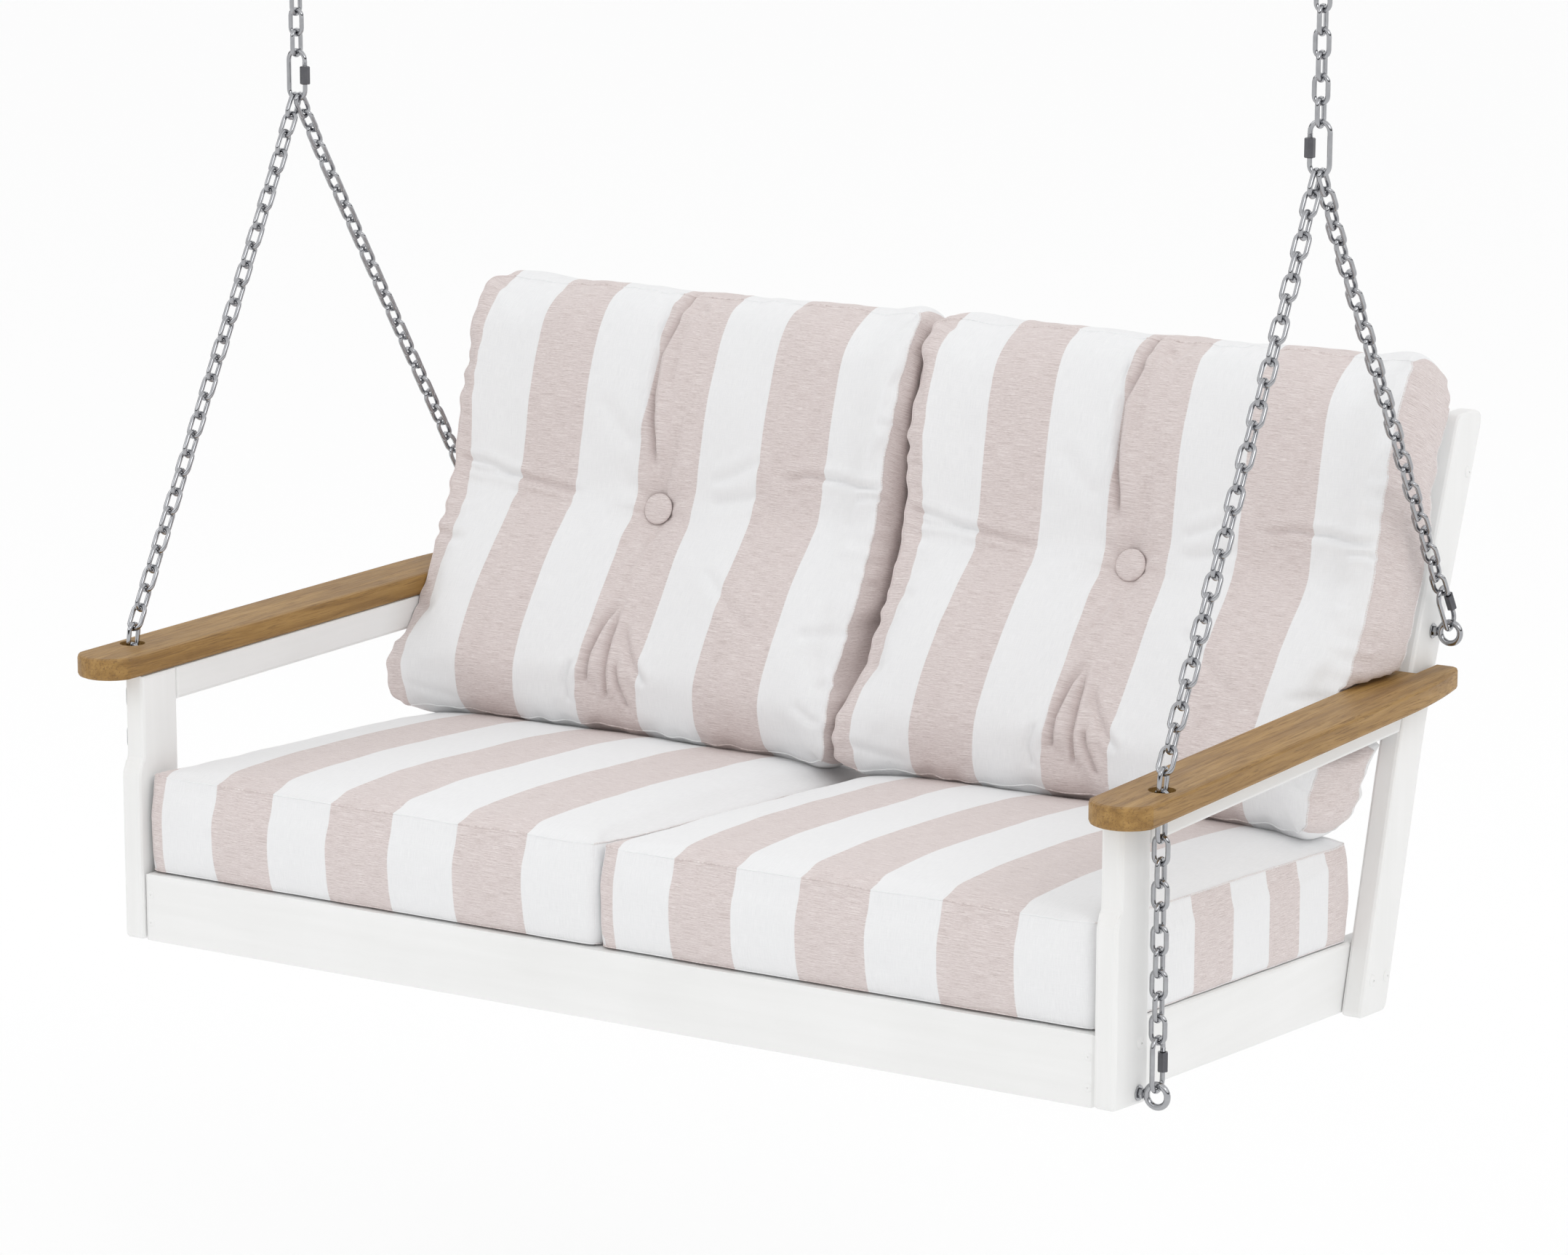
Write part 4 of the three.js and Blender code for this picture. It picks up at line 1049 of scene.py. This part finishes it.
for number, (side, sign) in enumerate(SIDES):
    back_span, seat_span = BACK_SPAN[side], SEAT_SPAN[side]
    button_low, button_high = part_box("cushion_button_" + side)
    button_x = (button_low[0] + button_high[0]) / 2 / MM

    def back_uv(part, m):
        across, up = (m[0] + 1) / 2 * STRIPED, (m[1] + 1) / 2 * BACK_LENGTH
        deep = (1 - m[2]) / 2 * BACK_BOXING
        if part == "side":
            return (PAST_STRIPES + deep if m[0] > 0 else BEFORE_STRIPES - deep, up)
        if part == "turned" and abs(m[0]) > 0.999:
            return (PAST_STRIPES if m[0] > 0 else BEFORE_STRIPES, up)
        if part in ("end", "turned"):
            return (across, up + math.copysign(deep, m[1]))
        return (across, up)

    def back_held(m, p):
        if m[2] > 0.99:
            return math.hypot(p[0] - button_x, p[2] - BUTTON_Z) < 15
        return m[2] < -0.99 and abs(m[0]) < 0.8

    def back_dress(places, marks):
        out = dress_back(places, marks, PATTERN_X[side], button_x, 3.0 + 8 * number)
        # what it rests on: the slats behind, the seat cushion below, the arm and the other cushion beside
        out[:, 1] = np.minimum(out[:, 1], SLATS_Y + SLATS_SLOPE * out[:, 2] - 1.2)
        out[:, 2] = np.maximum(out[:, 2], seat_top(out[:, 0], out[:, 1], seat_span) + 3.0)
        height = out[:, 2]
        beside = smoothstep(ARM_LOW - 14, ARM_LOW, height) * (1 - smoothstep(ARM_HIGH, ARM_HIGH + 7, height))
        post_slope = np.where(height < POST_Z, POST_SLOPE_LOW, POST_SLOPE_HIGH)
        post_front = POST_Y + post_slope * (height - POST_Z)
        beside = np.maximum(beside, smoothstep(-22, -5, out[:, 1] - post_front))
        out[:, 0] = np.clip(out[:, 0] * sign, 1.2, SIDE_LIMIT - ARM_PRESS * beside) * sign
        return out

    obj, marks = cushion("back_cushion_cover_" + side, "back_cushion_" + side, BACK_CELLS, (0.5, 0.45, 0.0),
                         lambda triples: back_shape(triples, back_span, WAIST_SHIFT[side], FOOT_IN[side]),
                         back_uv, [cloth, cloth_back], {"rear": 1, "turned": 1}, back_held,
                         dict(frames=16, pressure=3.0, cap=0.009, grow=-0.02), back_dress)
    rear_level = -1.0 + 2.0 * REAR_CELLS / BACK_CELLS[2]
    seam("back_cushion_seam_" + side, obj, marks, 1.0, 1.1 * MM, back_uv)
    seam("back_cushion_rear_seam_" + side, obj, marks, rear_level, 1.1 * MM, back_uv)

    # the button: a flat, rounded disc covered in cloth
    lean = math.atan(SLATS_SLOPE)
    face = Vector((0, -math.cos(lean), math.sin(lean)))
    b = Builder()
    disc = mm((0, 0), (15, 0), (18, 1.4), (18.9, 3), (18.7, 4.2), (17.8, 5.2), (15.5, 5.9), (11, 6.4),
              (6, 6.7), (0, 6.8))
    b.lathe(disc, bench(button_x, BUTTON_Y - 0.6, BUTTON_Z), face, 40)
    button = b.make("button_" + side, cloth_button, "seat", ["cushion_button_" + side], 60)
    lay_cloth(button, [(v.co.x + number * 0.03, v.co.z) for v in button.data.vertices])

    def seat_uv(part, m):
        across, deep = (m[0] + 1) / 2 * STRIPED, (m[1] + 1) / 2 * SEAT_LENGTH
        drop = (1 - m[2]) / 2 * SEAT_BOXING
        if part == "turned":
            part = "side" if abs(m[0]) > 0.999 else "end"
        if part == "side":
            return (float(np.interp(SEAT_MIDDLE + m[1] * SEAT_REACH, SIDE_DEPTH, SIDE_CLOTH)), drop)
        if part == "end":
            return (across, -drop if m[1] < 0 else 0.6 + drop)
        return (across, deep)

    def seat_dress(places, marks):
        out = dress_seat(places, marks, 2.0 + 7 * number)
        out[:, 2] = np.maximum(out[:, 2], SLATS_TOP - SEAT_SLOPE * out[:, 1])
        out[:, 0] = np.clip(out[:, 0] * sign, 1.0, 613.5) * sign
        return out

    obj, marks = cushion("seat_cushion_cover_" + side, "seat_cushion_" + side, SEAT_CELLS, (0.4, 0.4, 0.3),
                         lambda triples: seat_shape(triples, seat_span), seat_uv, [cloth], {},
                         lambda m, p: m[2] < -0.99, dict(frames=10, pressure=2.0, cap=0.004, grow=0.0),
                         seat_dress)
    seam("seat_cushion_seam_" + side, obj, marks, 1.0, 1.0 * MM, seat_uv)
    seam("seat_cushion_base_seam_" + side, obj, marks, -1.0, 1.0 * MM, seat_uv)

# ---- floor and lights ----
FLOOR_DROP, FLOOR_REACH = 0.85, 90.0
floor_mesh = bpy.data.meshes.new("floor")
floor_z = cad_bounds[0][2] - FLOOR_DROP
corners = [(x * FLOOR_REACH, y * FLOOR_REACH, floor_z) for x, y in ((-1, -1), (1, -1), (1, 1), (-1, 1))]
floor_mesh.from_pydata(corners, [], [[0, 1, 2, 3]])
floor_mesh.materials.append(Material("pale_floor").finish((0.96, 0.96, 0.96, 1), 0.9))
new_object("floor", floor_mesh)

world = bpy.data.worlds.new("studio")
bpy.context.scene.world = world
world.use_nodes = True
n = Nodes(world.node_tree)
sky = n.tree.nodes["Background"]
toward_right, _, height = n.split(n.add("ShaderNodeTexCoord").outputs["Generated"])
# how bright the sky is at the left and at the right
SKY_LEFT, SKY_RIGHT = 1.20, 1.31
# pale to a little above the horizon, then a dark band that gives the polished chain its edges
WALL = ((0.0, 0.85), (0.20, 0.85), (0.235, 0.04), (0.335, 0.06), (0.40, 1.08), (1.0, 0.72))
n.link(n.ramp(n.range(height, -0.1, 1.0), *((at, (tone,) * 3) for at, tone in WALL)), sky.inputs[0])
n.link(n.range(toward_right, -1.0, 1.0, SKY_LEFT, SKY_RIGHT), sky.inputs[1])


def area_light(name, place, target, size, power):
    light = bpy.data.lights.new(name, "AREA")
    light.shape = "RECTANGLE"
    light.size, light.size_y = size
    light.energy = power
    obj = new_object(name, light)
    obj.location = place
    obj.rotation_euler = (Vector(target) - Vector(place)).to_track_quat("-Z", "Y").to_euler()


aim = (0, 0, -0.8)
area_light("key", (4.2, -2.2, 2.6), aim, (2.0, 1.6), 26)
area_light("fill", (-3.4, -3.6, 1.4), aim, (2.2, 2.0), 15)

# ---- camera: fitted to the photograph. The place is in bench millimetres. ----
FOCAL_PIXELS, PHOTO_WIDTH = 7366.02, 2156
AZIMUTH, ELEVATION, ROLL = 31.696, 12.0317, 0.0940
CAMERA_PLACE = (3107.85, -4638.57, 1624.27)
camera_data = bpy.data.cameras.new("camera")
camera_data.sensor_width = 36
camera_data.sensor_fit = "HORIZONTAL"
camera_data.lens = FOCAL_PIXELS / PHOTO_WIDTH * camera_data.sensor_width
camera = new_object("camera", camera_data)
azimuth, elevation, roll = (math.radians(v) for v in (AZIMUTH, ELEVATION, ROLL))
look = Vector((math.sin(azimuth) * math.cos(elevation), -math.cos(azimuth) * math.cos(elevation),
               math.sin(elevation)))
level = Z.cross(look).normalized()
upright = look.cross(level)
right = level * math.cos(roll) + upright * math.sin(roll)
up = upright * math.cos(roll) - level * math.sin(roll)
turned = Matrix((right, up, look)).transposed().to_4x4()
camera.matrix_world = Matrix.Translation(bench(*CAMERA_PLACE)) @ turned
bpy.context.scene.camera = camera
bpy.context.scene.view_settings.view_transform = "Standard"
